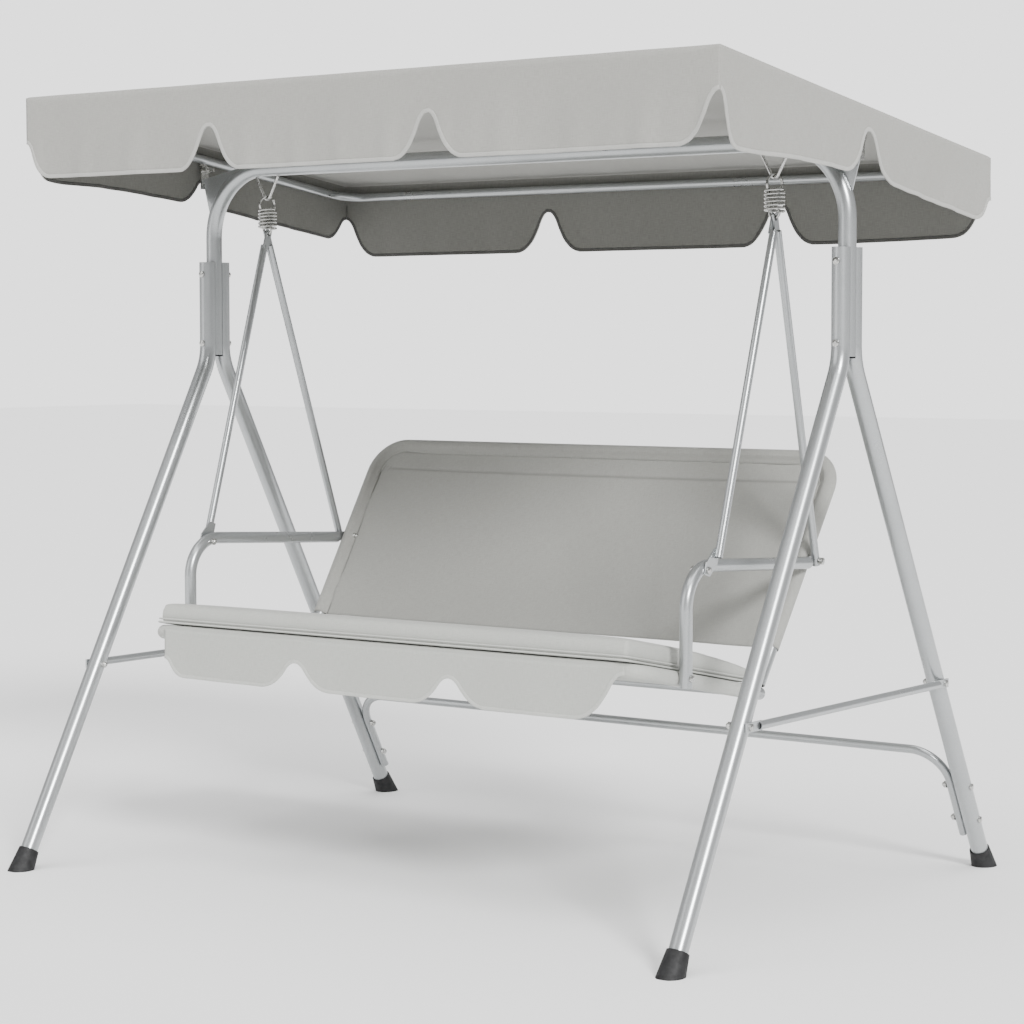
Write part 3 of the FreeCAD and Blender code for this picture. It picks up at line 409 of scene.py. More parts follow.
def directions(line, facing):
    """Unit directions across an edge line, square to it, on the side that a direction points to."""
    line, facing = np.asarray(line, float), np.asarray(facing, float)
    tangent = np.gradient(line, axis=0)
    tangent /= np.linalg.norm(tangent, axis=1)[:, None]
    across = facing - (facing * tangent).sum(1)[:, None] * tangent
    return across / np.linalg.norm(across, axis=1)[:, None]


# ---- canopy: one cloth over the frame, turned down into four lobed valances ----
# A notch's side, from its top to the lobe: (share of the half width, share of the depth).
NOTCH_SHAPE = ((0.0, 0.0), (0.10, 0.035), (0.22, 0.17), (0.36, 0.45), (0.56, 0.76), (0.78, 0.94),
               (1.0, 1.0))


def lobed_edge(low, high, ends, notches, depths):
    """Stops of a lobed lower edge. Each notch is (place, half width, depth at its top); an end
    is half a notch; depths are (place, depth) stops of the line that the lobes reach."""
    spots = [(low, *ends[0], (1,)), *[(*notch, (-1, 1)) for notch in notches],
             (high, *ends[1], (-1,))]
    reach = {}
    for place, half, top, sides in spots:
        for side in sides:
            full = float(np.interp(place + side * half, *np.array(depths).T))
            for share, fallen in NOTCH_SHAPE:
                reach[place + side * half * share] = top + (full - top) * fallen
    kept = [stop for stop in depths if all(
        not (place - half <= stop[0] <= place + half) for place, half, _, _ in spots)]
    return sorted([*reach.items(), *kept])


VALANCES = {
    "front": dict(edge=ROOF_FRONT, phase=0.3, stops=lobed_edge(
        -ROOF_HALF, ROOF_HALF, ((0.060, 0.094), (0.085, 0.074)),
        ((-0.337, 0.078, 0.080), (0.211, 0.080, 0.081)),
        ((-0.848, 0.166), (-0.55, 0.168), (0.848, 0.168)))),
    "rear": dict(edge=ROOF_BACK, phase=1.9, stops=lobed_edge(
        -ROOF_HALF, ROOF_HALF, ((0.085, 0.078), (0.085, 0.085)),
        ((-0.251, 0.085, 0.076), (0.353, 0.085, 0.076)),
        ((-0.848, 0.168), (0.3, 0.168), (0.848, 0.158)))),
    "right": dict(edge=ROOF_HALF, phase=3.1, stops=lobed_edge(
        ROOF_FRONT, ROOF_BACK, ((0.060, 0.074), (0.070, 0.085)),
        ((0.004, 0.090, 0.043),),
        ((-0.532, 0.172), (-0.30, 0.150), (-0.09, 0.134), (0.10, 0.128), (0.40, 0.134),
         (0.522, 0.134)))),
    "left": dict(edge=-ROOF_HALF, phase=4.4, stops=lobed_edge(
        ROOF_FRONT, ROOF_BACK, ((0.060, 0.094), (0.070, 0.078)),
        ((0.010, 0.080, 0.078),),
        ((-0.532, 0.166), (-0.30, 0.146), (-0.09, 0.136), (0.10, 0.132), (0.522, 0.134)))),
}
LONG_SIDES = ("front", "rear")
LONG_COLUMNS, SHORT_COLUMNS, VALANCE_ROWS = 215, 137, 17
EDGE_INSET, EDGE_RISE = 0.005, 0.003       # the roof's rounded edge
FINE_PLACES, STEEP_WEIGHT = 4000, 2.5


def spread_columns(stops, count):
    """Places along a lobed edge, closer together where the edge is steep, with one just in from
    each end."""
    low, high = stops[0][0], stops[-1][0]
    fine = np.linspace(low, high, FINE_PLACES)
    fall = np.gradient(smooth_line(stops, fine), fine)
    far = np.concatenate([[0], np.cumsum(np.sqrt(1 + STEEP_WEIGHT * fall[1:] ** 2))])
    middle = np.interp(np.linspace(0, far[-1], count - 2), far, fine)[1:-1]
    return np.sort([low, low + EDGE_INSET, *middle, high - EDGE_INSET, high])


COLUMNS = {side: spread_columns(facts["stops"],
                                LONG_COLUMNS if side in LONG_SIDES else SHORT_COLUMNS)
           for side, facts in VALANCES.items()}

FULL_HANG = 0.15                                         # folds are full this far down
WIDE_FOLD, NARROW_FOLD, FINE_RIPPLE = 0.0060, 0.0052, 0.0020


def folds(side, along, drop):
    """How far a valance's cloth stands off its own plane: soft folds that grow to its edge."""
    phase = VALANCES[side]["phase"]
    wide = np.sin(along * 9 + phase) * 0.5 + np.sin(along * 21 + phase * 2.3) * 0.35
    narrow = np.sin(along * 47 + phase * 5.1 + 1.2 * np.sin(along * 6))
    narrow = np.maximum(narrow, 0.25) - 0.45
    ripple = np.sin(along * 96 + drop * 30 + phase) * 0.22
    hang = np.clip(drop / FULL_HANG, 0, 1)
    return (WIDE_FOLD * wide * hang ** 1.2 + NARROW_FOLD * narrow * hang ** 1.8
            + FINE_RIPPLE * ripple * hang)


def valance_points(side, along, drop):
    """Points of a valance in the row frame: along the edge, and down from it in plumb line."""
    edge = np.full_like(along, VALANCES[side]["edge"])
    off = np.sign(VALANCES[side]["edge"]) * folds(side, along, drop)
    level = np.zeros_like(along)
    is_long = side in LONG_SIDES
    top = on_roof(np.stack([along, edge, level] if is_long else [edge, along, level], -1))
    top[..., 1 if is_long else 0] += off
    top[..., 2] -= drop
    return top


CANOPY_TAPE = dict(width=0.0065, thickness=0.0030, finish=BINDING)


def valance(side):
    """One valance and its binding."""
    along = COLUMNS[side]
    depth = smooth_line(VALANCES[side]["stops"], along)
    places = np.repeat(along[None], VALANCE_ROWS, 0)
    drop = np.linspace(0, 1, VALANCE_ROWS)[:, None] * depth[None]
    points = valance_points(side, places, drop)
    sheet = cloth_grid("valance_" + side, points, np.stack([places, -drop], -1), CANOPY_CLOTH,
                       flip=side in ("front", "right"))
    sheet.data.attributes.new("hangs", "FLOAT", "FACE").data.foreach_set(
        "value", np.ones(len(sheet.data.polygons), np.float32))
    line = points[-1]
    inward = directions(line, np.repeat([[0, 0, 1.0]], len(line), 0))
    plane = np.array([0, 1, 0] if side in LONG_SIDES else [1, 0, 0], float)
    outward = np.repeat([plane * np.sign(VALANCES[side]["edge"])], len(line), 0)
    return sheet, tape("valance_binding_" + side, line, inward, outward, **CANOPY_TAPE)


PULL, PULL_MARGIN = 0.0012, 0.05           # creases at the roof's corners


def canopy_roof():
    """The roof cloth over the tubes: its columns and rows run on into the valances' own."""
    share_x = (COLUMNS["front"] + ROOF_HALF) / (2 * ROOF_HALF)
    share_y = (COLUMNS["left"] - ROOF_FRONT) / (ROOF_BACK - ROOF_FRONT)
    x = (1 - share_y[:, None]) * COLUMNS["front"][None] + share_y[:, None] * COLUMNS["rear"][None]
    y = (1 - share_x[None]) * COLUMNS["left"][:, None] + share_x[None] * COLUMNS["right"][:, None]
    edge = np.minimum(np.minimum(x + ROOF_HALF, ROOF_HALF - x),
                      np.minimum(y - ROOF_FRONT, ROOF_BACK - y))
    rise = EDGE_RISE * np.clip(edge / EDGE_INSET, 0, 1)
    across = np.clip(np.abs(x) / ROOF_HALF, 0, 1)
    middle, half = (ROOF_FRONT + ROOF_BACK) / 2, (ROOF_BACK - ROOF_FRONT) / 2
    along = np.clip(np.abs(y - middle) / half, 0, 1)
    sag = ROOF_SAG * (1 - across**4) * (1 - along**4)
    pull = (PULL * np.sin(x * 31 + y * 13) * (across**3 + along**3)
            * np.clip(edge / PULL_MARGIN, 0, 1))
    points = on_roof(np.stack([x, y, rise - sag + pull], -1))
    return cloth_grid("canopy_roof", points, np.stack([x, y], -1), CANOPY_CLOTH)


CANOPY_WELD = 0.0004
ROOF_UNDERSIDE_SHADE = 0.15                         # how much of the painted shade on the valances' inner faces the roof's underside gets


def canopy():
    """The whole canopy cloth as one sheet, with its bindings."""
    sheets, bindings = zip(*[valance(side) for side in VALANCES])
    cover = joined("canopy_cover", [canopy_roof(), *sheets])
    edited(cover, weld(CANOPY_WELD))
    hangs = np.zeros(len(cover.data.polygons), np.float32)
    cover.data.attributes["hangs"].data.foreach_get("value", hangs)
    thickened(cover, CLOTH)
    # The canopy's inner faces get painted shade: in full on the valances, in part on the roof's
    # underside.
    inside = np.zeros(len(cover.data.polygons), np.float32)
    cover.data.attributes["inside"].data.foreach_get("value", inside)
    inside[len(hangs):2 * len(hangs)] *= ROOF_UNDERSIDE_SHADE + (1 - ROOF_UNDERSIDE_SHADE) * hangs
    cover.data.attributes["inside"].data.foreach_set("value", inside)
    return cover, joined("canopy_binding", list(bindings))


canopy_cover, canopy_binding = canopy()
hang_area = sum(float(np.trapz(smooth_line(facts["stops"], COLUMNS[side]), COLUMNS[side]))
                for side, facts in VALANCES.items())
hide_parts("canopy_roof", "valance_front", "valance_rear", "valance_left",
            "valance_right")
for piece in (canopy_cover, canopy_binding):
    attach(piece, "canopy")


# ---- seat and back cloths: a panel sewn to a pocket that runs round the bent tube ----
LINE_STEP, BEND_POINTS = 0.01, 15


def bent_line(stops, radius):
    """Points along a flat bent line with rounded corners, the unit directions along it, and how
    far along it each point is."""
    stops = [np.array(stop, float) for stop in stops]
    points = [stops[0]]
    for before, corner, after in zip(stops, stops[1:], stops[2:]):
        first = (before - corner) / np.linalg.norm(before - corner)
        last = (after - corner) / np.linalg.norm(after - corner)
        half = math.acos(np.clip(np.dot(first, last), -1, 1)) / 2
        reach = radius / math.tan(half)
        centre = corner + (first + last) / np.linalg.norm(first + last) * radius / math.sin(half)
        start, end = corner + first * reach, corner + last * reach
        angles = [math.atan2(*(place - centre)[::-1]) for place in (start, end)]
        swing = (angles[1] - angles[0] + math.pi) % (2 * math.pi) - math.pi
        for share in np.linspace(0, 1, BEND_POINTS):
            angle = angles[0] + swing * share
            points.append(centre + radius * np.array([math.cos(angle), math.sin(angle)]))
    points.append(stops[-1])
    points = np.array(points)
    far = np.concatenate([[0], np.cumsum(np.linalg.norm(np.diff(points, axis=0), axis=1))])
    marks = np.linspace(0, far[-1], int(far[-1] / LINE_STEP))
    line = np.stack([np.interp(marks, far, points[:, axis]) for axis in (0, 1)], -1)
    tangent = np.gradient(line, axis=0)
    return line, tangent / np.linalg.norm(tangent, axis=1)[:, None], marks


WRAP_FROM, WRAP_TO, WRAP_POINTS = 62, 298, 25       # degrees of the tube that a pocket covers
# From the seam to the tube: (share of the way in to the seam, share of the rise to the tube).
POCKET_TAPER = ((1.0, 0.0), (0.72, 0.22), (0.45, 0.62))


def pocket_section(seam, radius, lift):
    """Across a pocket, from its rear seam round the tube to its front seam: (inward, lift)."""
    wrap = np.radians(np.linspace(WRAP_FROM, WRAP_TO, WRAP_POINTS))
    ring = np.stack([radius * np.cos(wrap), radius * np.sin(wrap)], -1)
    rear = [(seam * inward, lift + (ring[0][1] - lift) * risen) for inward, risen in POCKET_TAPER]
    front = [(inward, -height) for inward, height in reversed(rear)]
    return np.array(rear + ring.tolist() + front)


PUCKERS = ((0.0007, 55, 0), (0.0005, 131, 1))        # each: height, pace along the tube, start


def pocket(name, line, tangent, marks, seam, radius, to_row, lay, finish, lift):
    """A sewn pocket round a bent tube, open to the left of the tube's run. lay puts (first,
    second, height) in the frame's own order."""
    normal = np.stack([-tangent[:, 1], tangent[:, 0]], -1)
    section = pocket_section(seam, radius, lift)
    ripple = sum(height * np.sin(marks * pace + start) for height, pace, start in PUCKERS)
    round_tube = np.concatenate([[0], np.cumsum(np.linalg.norm(np.diff(section, axis=0), axis=1))])
    grid, weave = [], []
    for (inward, height), across in zip(section, round_tube):
        flare = np.clip((inward - radius * 0.4) / seam, 0, 1)
        place = line + normal * inward
        rows = np.stack([place[:, 0], place[:, 1], np.full(len(line), height) + ripple * flare],
                        -1)
        grid.append(to_row(lay(rows)))
        weave.append(np.stack([marks, np.full(len(line), across)], -1))
    return cloth_grid(name, grid, weave, finish)


PANEL_COLUMNS, PANEL_ROWS, HEM_ROWS = 121, 61, 17
COLUMN_SPREAD = 0.92                       # below 1, columns are closer together at the sides
# Each run of creases: height, pace across, pace along, and how fast it fades from the sides.
CREASES = ((0.0011, 23, 31, 3), (0.0008, 41, -57, 4))
HEM_MARGIN, STITCH_WIDTH = 0.008, 0.0032   # rows close together by a hem, and its line's width
HEM_RISE, HEM_STEP, HEM_EASE = 0.0011, 0.0012, 0.003


def flat_panel(name, half_at, low, high_at, to_row, lay, slack, finish, hem=None):
    """The cloth between the pockets, from low to a top line, with a slack hollow and soft
    creases. hem is the place of a line of stitches, with doubled cloth beyond it."""
    share = np.linspace(-1, 1, PANEL_COLUMNS)
    share = np.sign(share) * np.abs(share) ** COLUMN_SPREAD
    up = np.linspace(0, 1, PANEL_ROWS)
    if hem:
        near = np.linspace(hem - HEM_MARGIN, hem + HEM_MARGIN, HEM_ROWS)
        up = np.sort(np.concatenate([up, (near - low) / (float(high_at(np.zeros(1))[0]) - low)]))
    s, u = np.meshgrid(share, up)
    second = low + (high_at(s) - low) * u
    first = s * half_at(second)
    hollow = slack * (1 - s**2) * (1 - (2 * u - 1) ** 4)
    crease = sum(tall * np.sin(first * across + second * along) * np.abs(s) ** fade
                 for tall, across, along, fade in CREASES)
    # The line of stitches raises a small ridge and marks the points for the painted shade of the
    # seam's groove.
    stitch_ridge_and_shade, doubled = np.zeros_like(second), 0.0
    if hem:
        stitch_ridge_and_shade = np.exp(-((second - hem) / STITCH_WIDTH) ** 2)
        doubled = -HEM_STEP * np.clip((second - hem) / HEM_EASE, 0, 1)
    height = hollow + crease + doubled + HEM_RISE * stitch_ridge_and_shade
    piece = cloth_grid(name, to_row(lay(np.stack([first, second, height], -1))),
                       np.stack([first, second], -1), finish)
    piece.data.attributes.new("stitch_ridge_and_shade", "FLOAT", "POINT").data.foreach_set(
        "value", stitch_ridge_and_shade.astype(np.float32).ravel())
    return piece


def back_lay(rows):
    """Back frame: first across, second up along the back, height towards the rear."""
    return np.stack([rows[..., 0], rows[..., 2], rows[..., 1]], -1)


BACK_FOOT_X, BACK_TOP_X, BACK_JOINT, BACK_HIGH = 0.584, 0.597, 0.048, 0.5439
BACK_CORNER, BACK_LOW, BACK_SEAM, BACK_HEM = 0.070, 0.100, 0.020, 0.4839
SEAM_OVERLAP, BACK_SLACK = 0.004, 0.010
BACK_WRAP, SEAT_WRAP = TUBE + 0.0016, TUBE + 0.0013  # radius of each pocket's cloth


def back_half(up):
    """Half the distance between the back's side tubes at a place up the back."""
    return BACK_FOOT_X + (BACK_TOP_X - BACK_FOOT_X) * (up - BACK_JOINT) / (BACK_HIGH - BACK_JOINT)


back_pocket = pocket("back_pocket", *bent_line(
    [(back_half(BACK_LOW), BACK_LOW), (BACK_TOP_X, BACK_HIGH), (-BACK_TOP_X, BACK_HIGH),
     (-back_half(BACK_LOW), BACK_LOW)], BACK_CORNER), BACK_SEAM, BACK_WRAP, on_back, back_lay,
    BACK_CLOTH, lift=0.0010)
thickened(back_pocket, CLOTH)
inner_corner = BACK_CORNER - BACK_SEAM + SEAM_OVERLAP


def back_top(share):
    """The panel's top line under the pocket, rounded at its corners."""
    across = np.abs(share) * (BACK_TOP_X - BACK_SEAM + SEAM_OVERLAP)
    straight = BACK_TOP_X - BACK_CORNER
    over = np.clip(across - straight, 0, inner_corner)
    return BACK_HIGH - BACK_CORNER + np.sqrt(np.clip(inner_corner**2 - over**2, 0, None))


back_panel = flat_panel("back_panel", lambda up: back_half(up) - BACK_SEAM + SEAM_OVERLAP,
                        BACK_LOW, back_top, on_back, back_lay, BACK_SLACK, BACK_CLOTH, hem=BACK_HEM)
thickened(back_panel, CLOTH)
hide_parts("back_sling")
for piece in (back_panel, back_pocket):
    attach(piece, "seat")


# ---- seat: sling, pad and skirt ----
SEAT_FRONT, SEAT_REAR, SEAT_JOINT = -0.425, 0.020, 0.062
SEAT_X, SEAT_REAR_X, SEAT_CORNER, SEAT_SEAM = 0.606, 0.582, 0.055, 0.030


def seat_lay(rows):
    """Seat frame: first across, second back along the seat, height downwards."""
    return np.stack([rows[..., 0], rows[..., 1], -rows[..., 2]], -1)


def seat_half(along):
    """Half the distance between the seat's side tubes at a place back along the seat."""
    return SEAT_X + (SEAT_REAR_X - SEAT_X) * (along - SEAT_FRONT) / (SEAT_JOINT - SEAT_FRONT)


seat_pocket = pocket("seat_pocket", *bent_line(
    [(-seat_half(SEAT_REAR), SEAT_REAR), (-SEAT_X, SEAT_FRONT), (SEAT_X, SEAT_FRONT),
     (seat_half(SEAT_REAR), SEAT_REAR)], SEAT_CORNER), SEAT_SEAM, SEAT_WRAP, on_seat, seat_lay,
    SEAT_CLOTH, lift=0.0026)
thickened(seat_pocket, CLOTH)
seat_panel = flat_panel("seat_panel", lambda along: seat_half(along) - SEAT_SEAM, SEAT_REAR,
                        lambda share: np.full_like(share, SEAT_FRONT + SEAT_SEAM), on_seat,
                        seat_lay, 0.0, SEAT_CLOTH)
thickened(seat_panel, CLOTH)
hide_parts("seat_sling")
for piece in (seat_panel, seat_pocket):
    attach(piece, "seat")

PAD_HALF, PAD_FRONT, PAD_REAR, PAD_LOW, PAD_HIGH = 0.590, -0.437, 0.022, 0.0165, 0.0600
PAD_CUTS = 23
PAD_PULL = 0.0035                          # how far its sides are drawn in at top and bottom
PAD_SWELL, PAD_TOP_SWELL = 0.004, 0.003    # room left for the filling
PAD_CROWN, PAD_DROP = 0.005, 0.014         # rise in the middle, and fall towards the rear
FALL_START = -0.1                          # where the fall begins, from -1 in front to 1
PAD_VOXEL, PAD_PRESSURE, FILL_FRAMES = 0.006, 4.0, 20


def pad_block():
    """The pad before it is filled: a flat-bottomed block with pulled-in sides, eased corners."""
    bpy.ops.object.select_all(action="DESELECT")
    bpy.ops.mesh.primitive_cube_add(size=1)
    piece = bpy.context.object
    piece.name = "seat_pad_cushion"
    edited(piece, (bpy.ops.mesh.subdivide, dict(number_cuts=PAD_CUTS)))
    mesh = piece.data
    spots = np.array([vertex.co for vertex in mesh.vertices], float) * 2
    x, y, z = spots.T
    rise = (z + 1) / 2
    crown = (1 - np.abs(x) ** 8) * (1 - np.abs(y) ** 6)
    drawn = PAD_PULL * (2 * rise - 1) ** 2
    width = PAD_HALF - drawn - PAD_SWELL
    middle, half_long = (PAD_FRONT + PAD_REAR) / 2, (PAD_REAR - PAD_FRONT) / 2
    depth = half_long - drawn - PAD_SWELL
    fall = np.clip((y - FALL_START) / (1 - FALL_START), 0, 1) ** 2 * PAD_DROP * rise
    height = PAD_LOW + rise * (PAD_HIGH - PAD_LOW - PAD_TOP_SWELL + PAD_CROWN * crown) - fall
    made = np.stack([x * width, middle + y * depth, height], -1)
    mesh.vertices.foreach_set("co", made.ravel())
    mesh.update()
    return piece


def fill_pad(piece):
    """Fills the pad: remesh, swell as cloth under pressure, and keep each point in reach."""
    only(piece)
    remesh = piece.modifiers.new("voxels", "REMESH")
    remesh.mode, remesh.voxel_size = "VOXEL", PAD_VOXEL
    bpy.ops.object.modifier_apply(modifier=remesh.name)
    made = np.array([vertex.co for vertex in piece.data.vertices], float)
    cloth = piece.modifiers.new("filling", "CLOTH")
    cloth.settings.use_pressure = True
    cloth.settings.uniform_pressure_force = PAD_PRESSURE
    cloth.settings.quality = 4
    cloth.settings.effector_weights.gravity = 0
    scene = bpy.context.scene
    scene.frame_start, scene.frame_end = 1, FILL_FRAMES
    for moment in range(1, FILL_FRAMES + 1):
        scene.frame_set(moment)
    bpy.ops.object.modifier_apply(modifier=cloth.name)
    scene.frame_set(1)
    move = np.array([vertex.co for vertex in piece.data.vertices], float) - made
    far = np.linalg.norm(move, axis=1)
    made += move * (np.minimum(far, PAD_SWELL) / np.maximum(far, 1e-9))[:, None]
    made[:, 2] = np.maximum(made[:, 2], PAD_LOW)
    piece.data.vertices.foreach_set("co", made.ravel())
    piece.data.update()


def weave_by_box(piece):
    """A weave map in metres: each face is laid flat along the direction it looks in most."""
    mesh = piece.data
    layer = mesh.uv_layers.get("weave") or mesh.uv_layers.new(name="weave")
    for face in mesh.polygons:
        nx, ny, nz = [abs(part) for part in face.normal]
        first, second = (0, 1) if nz >= max(nx, ny) else ((0, 2) if ny >= nx else (1, 2))
        for corner in face.loop_indices:
            spot = mesh.vertices[mesh.loops[corner].vertex_index].co
            layer.data[corner].uv = (spot[first], spot[second])


pad = pad_block()
fill_pad(pad)
weave_by_box(pad)
pad.data.materials.clear()
pad.data.materials.append(SEAT_CLOTH)
pad.data.transform(Matrix.Translation(SEAT_ORIGIN) @ Matrix.Rotation(-SEAT_TILT, 4, "X"))
smoother = pad.modifiers.new("smooth", "SUBSURF")
smoother.levels = smoother.render_levels = 1
only(pad)
bpy.ops.object.modifier_apply(modifier=smoother.name)
bpy.ops.object.shade_smooth()

PIPING_INSET, PIPING_CORNER, PIPING_SIDES, PIPING_WELD = 0.002, 0.012, 8, 0.0003
# Each corded seam: its name, its height over the pad's underside and its radius.
PIPINGS = (("low_piping", 0.0025, 0.0021), ("hem_piping", 0.0095, 0.0015))


def piping(name, level, radius):
    """A corded seam round the pad at a level over the seat frame."""
    near, far, side = PAD_FRONT + PIPING_INSET, PAD_REAR - PIPING_INSET, PAD_HALF - PIPING_INSET
    loop, tangent, marks = bent_line([(0, far), (-side, far), (-side, near), (side, near),
                                      (side, far), (0, far)], PIPING_CORNER)
    normal = np.stack([-tangent[:, 1], tangent[:, 0]], -1)
    grid, weave = [], []
    for angle in np.linspace(0, 2 * math.pi, PIPING_SIDES + 1)[:-1]:
        ring = loop + normal * radius * math.cos(angle)
        height = np.full(len(loop), level + radius * math.sin(angle))
        grid.append(on_seat(np.column_stack([ring, height])))
        weave.append(np.column_stack([marks, np.full(len(loop), radius * angle)]))
    cord = cloth_grid(name, grid, weave, SEAT_BINDING, close=True)
    return edited(cord, weld(PIPING_WELD), FACE_OUT)


pad_piping = joined("seat_pad_piping", [piping(name, PAD_LOW + height, radius)
                                        for name, height, radius in PIPINGS])
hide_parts("seat_pad")
for piece in (pad, pad_piping):
    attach(piece, "seat")

# Skirt: a strip of cloth sewn along the front of the seat, with three lobes.
SKIRT_Y, SKIRT_TOP, SKIRT_LOW, SKIRT_HIGH = -0.4335, 0.508, -0.556, 0.590
SKIRT_STOPS = lobed_edge(SKIRT_LOW, SKIRT_HIGH, ((0.052, 0.062), (0.115, 0.014)),
                         ((-0.202, 0.088, 0.048), (0.184, 0.088, 0.050)),
                         ((-0.556, 0.100), (0.0, 0.103), (0.590, 0.105)))
SKIRT_COLUMNS, SKIRT_ROWS = 260, 13
SKIRT_FOLD, SKIRT_HANG = 0.0028, 0.1


def skirt_points(along, drop):
    """Points of the skirt in the row frame, with soft folds that grow towards its edge."""
    fold = np.sin(along * 19 + 0.7) * 0.5 + np.sin(along * 47 + 2.0) * 0.3
    off = SKIRT_FOLD * fold * np.clip(drop / SKIRT_HANG, 0, 1) ** 1.4
    return np.stack([along, SKIRT_Y - off, SKIRT_TOP - drop], -1)


places = spread_columns(SKIRT_STOPS, SKIRT_COLUMNS)
depth = smooth_line(SKIRT_STOPS, places)
along = np.repeat(places[None], SKIRT_ROWS, 0)
drop = np.linspace(0, 1, SKIRT_ROWS)[:, None] * depth[None]
points = skirt_points(along, drop)
skirt = thickened(cloth_grid("seat_skirt_cloth", points, np.stack([along, -drop], -1), SEAT_CLOTH,
                             flip=True), CLOTH)
line = points[-1]
skirt_binding = tape("seat_skirt_binding", line,
                     directions(line, np.repeat([[0, 0, 1.0]], len(line), 0)),
                     np.repeat([[0, -1.0, 0]], len(line), 0), width=0.006, thickness=0.003,
                     finish=SEAT_BINDING)
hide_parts("seat_skirt")
for piece in (skirt, skirt_binding):
    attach(piece, "seat")


# ---- springs: close turns of wire with a hook round the hanger and an eye for the rods ----
HANG_X, HOOK_TOP, COIL_TOP, COIL_LOW, EYE_Z = 0.646, 1.415 + 0.0065, 1.393, 1.350, 1.349
COIL_MEAN, WIRE, EYE_MEAN, WIRE_WELD = 0.01825, 0.00275, 0.011, 0.00002
WIRE_SIDES, TURNS, TURN_STEPS, HOOK_STEPS, EYE_STEPS = 14, 6, 28, 40, 32
HOOK_AXIS = Matrix.Rotation(math.radians(-22), 3, "Z") @ Vector((1, 0, 0))
HOOK_SWEEP, EYE_SWEEP = math.radians(345), math.radians(350)


def wire_ring(centre, radius, turn_axis, sweep, steps):
    """A bend of spring wire: a round wire section spun about an axis."""
    bpy.ops.object.select_all(action="DESELECT")
    bpy.ops.mesh.primitive_circle_add(vertices=WIRE_SIDES, radius=WIRE)
    piece = bpy.context.object
    axis = Vector(turn_axis).normalized()
    arm = axis.orthogonal().normalized()
    turned = Matrix((arm, axis, axis.cross(arm))).transposed().to_4x4()
    piece.data.transform(Matrix.Translation(Vector(centre) + arm * radius) @ turned)
    spin = bpy.ops.mesh.spin, dict(steps=steps, angle=sweep, center=centre, axis=axis)
    return edited(piece, spin, weld(WIRE_WELD), FILL_ENDS, FACE_OUT)


def coil():
    """The close turns: a wire section screwed round the spring's axis."""
    bpy.ops.object.select_all(action="DESELECT")
    bpy.ops.mesh.primitive_circle_add(vertices=WIRE_SIDES, radius=WIRE, location=(COIL_MEAN, 0, 0),
                                      rotation=(math.pi / 2, 0, 0))
    piece = bpy.context.object
    only(piece)
    bpy.ops.object.transform_apply(location=True, rotation=True, scale=True)
    screw = piece.modifiers.new("turns", "SCREW")
    screw.axis, screw.iterations = "Z", TURNS
    screw.steps = screw.render_steps = TURN_STEPS
    screw.screw_offset = (COIL_TOP - COIL_LOW) / TURNS
    bpy.ops.object.modifier_apply(modifier=screw.name)
    edited(piece, FILL_ENDS, FACE_OUT)
    piece.data.transform(Matrix.Translation((0, 0, COIL_LOW)))
    return piece


for side, hand in (("left", -1), ("right", 1)):
    hook = wire_ring(Vector((0, 0, HOOK_TOP - COIL_MEAN)), COIL_MEAN, HOOK_AXIS, HOOK_SWEEP,
                     HOOK_STEPS)
    eye = wire_ring((0, 0, EYE_Z), EYE_MEAN, (0, 1, 0), EYE_SWEEP, EYE_STEPS)
    whole = joined("spring_coil_" + side, [coil(), hook, eye])
    whole.data.transform(Matrix.Translation((HANG_X * hand, 0, 0)))
    only(whole)
    bpy.ops.object.shade_smooth()
    whole.data.materials.clear()
    whole.data.materials.append(SPRING)
    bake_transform(whole)
    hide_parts("spring_" + side)


# ---- floor, light and camera ----
SKY_LIGHT, SKY_SEEN = 0.55, 1.6            # the air's light, and what the camera sees on top
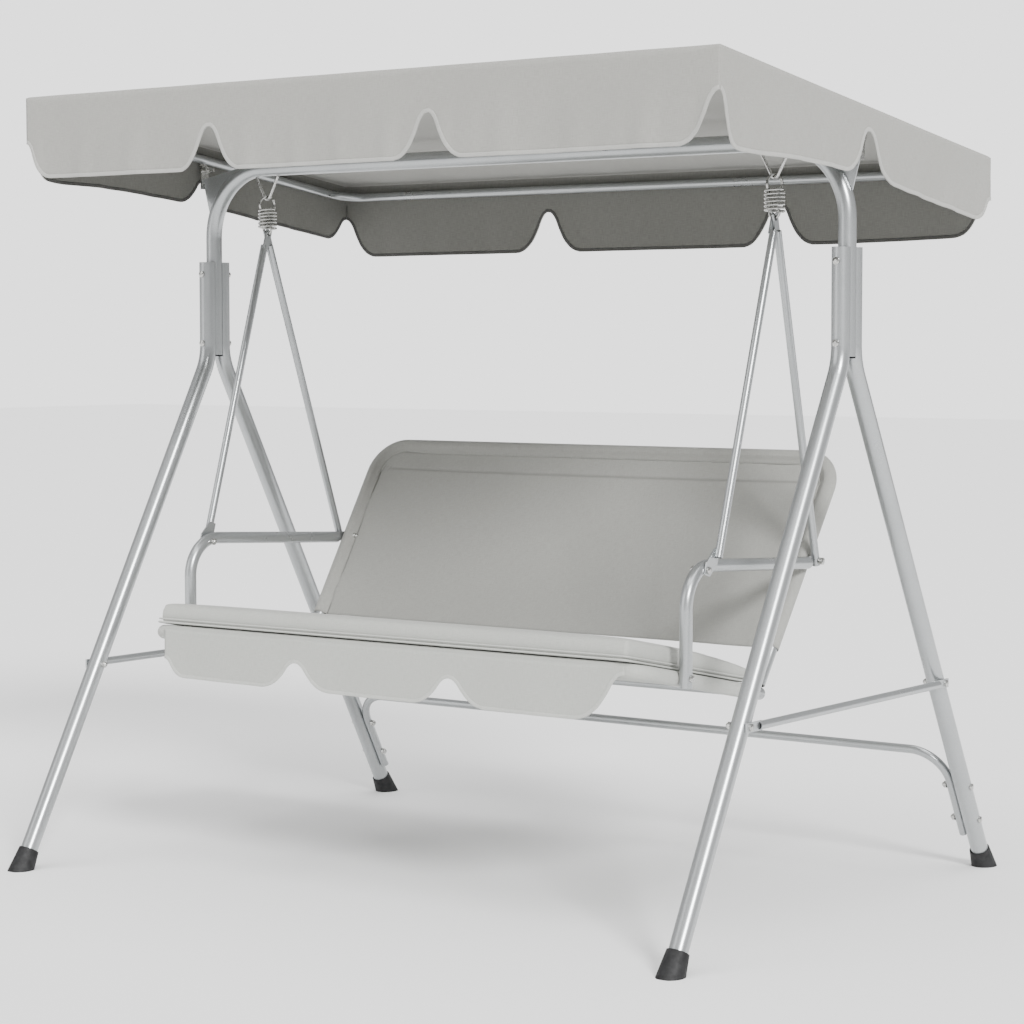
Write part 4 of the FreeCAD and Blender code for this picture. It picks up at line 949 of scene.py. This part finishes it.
# Each lamp: (name, the place it shines from, its softness in degrees, its power).
LAMPS = (("key_lamp", (5.2, -3.4, 3.5), 14, 4.2), ("top_lamp", (0.4, -0.8, 6.0), 60, 2.7),
         ("fill_lamp", (-3.5, -6.0, 2.4), 40, 0.7))
CAMERA_PLACE, LENS, SENSOR = (3.2716, -4.4663, 1.1011), 93.764, 36.0
CAMERA_YAW, CAMERA_PITCH, CAMERA_ROLL = 0.629173, -0.0637929, 0.000867


def studio():
    """A pale floor, even air and three soft lamps."""
    bpy.ops.object.select_all(action="DESELECT")
    bpy.ops.mesh.primitive_plane_add(size=60, location=(0, 0, 0))
    floor = bpy.context.object
    floor.name = "studio_floor"
    paint, _, _ = new_finish("studio_floor_paint", Base_Color=(0.93, 0.93, 0.93, 1), Roughness=0.9)
    floor.data.materials.append(paint)
    world = bpy.data.worlds.new("studio_air")
    bpy.context.scene.world = world
    world.use_nodes = True
    air = world.node_tree
    background = air.nodes["Background"]
    background.inputs["Color"].default_value = (1, 1, 1, 1)
    seen = air.nodes.new("ShaderNodeLightPath").outputs["Is Camera Ray"]
    strength = combine(air, "ADD", combine(air, "MULTIPLY", seen, SKY_SEEN), SKY_LIGHT)
    air.links.new(strength, background.inputs["Strength"])
    for name, place, softness, power in LAMPS:
        lamp = bpy.data.objects.new(name, bpy.data.lights.new(name, "SUN"))
        lamp.data.angle, lamp.data.energy = math.radians(softness), power
        lamp.location = place
        lamp.rotation_euler = (-Vector(place)).to_track_quat("-Z", "Y").to_euler()
        bpy.context.collection.objects.link(lamp)


def camera():
    """A long lens at chest height, off the front right corner."""
    lens = bpy.data.cameras.new("studio_camera")
    lens.sensor_width, lens.lens = SENSOR, LENS
    lens.clip_start, lens.clip_end = 0.05, 200
    view = bpy.data.objects.new("studio_camera", lens)
    bpy.context.collection.objects.link(view)
    turn = (Matrix.Rotation(CAMERA_YAW, 4, "Z")
            @ Matrix.Rotation(math.pi / 2 + CAMERA_PITCH, 4, "X")
            @ Matrix.Rotation(-CAMERA_ROLL, 4, "Z"))
    view.matrix_world = Matrix.Translation(CAMERA_PLACE) @ turn
    bpy.context.scene.camera = view


studio()
camera()
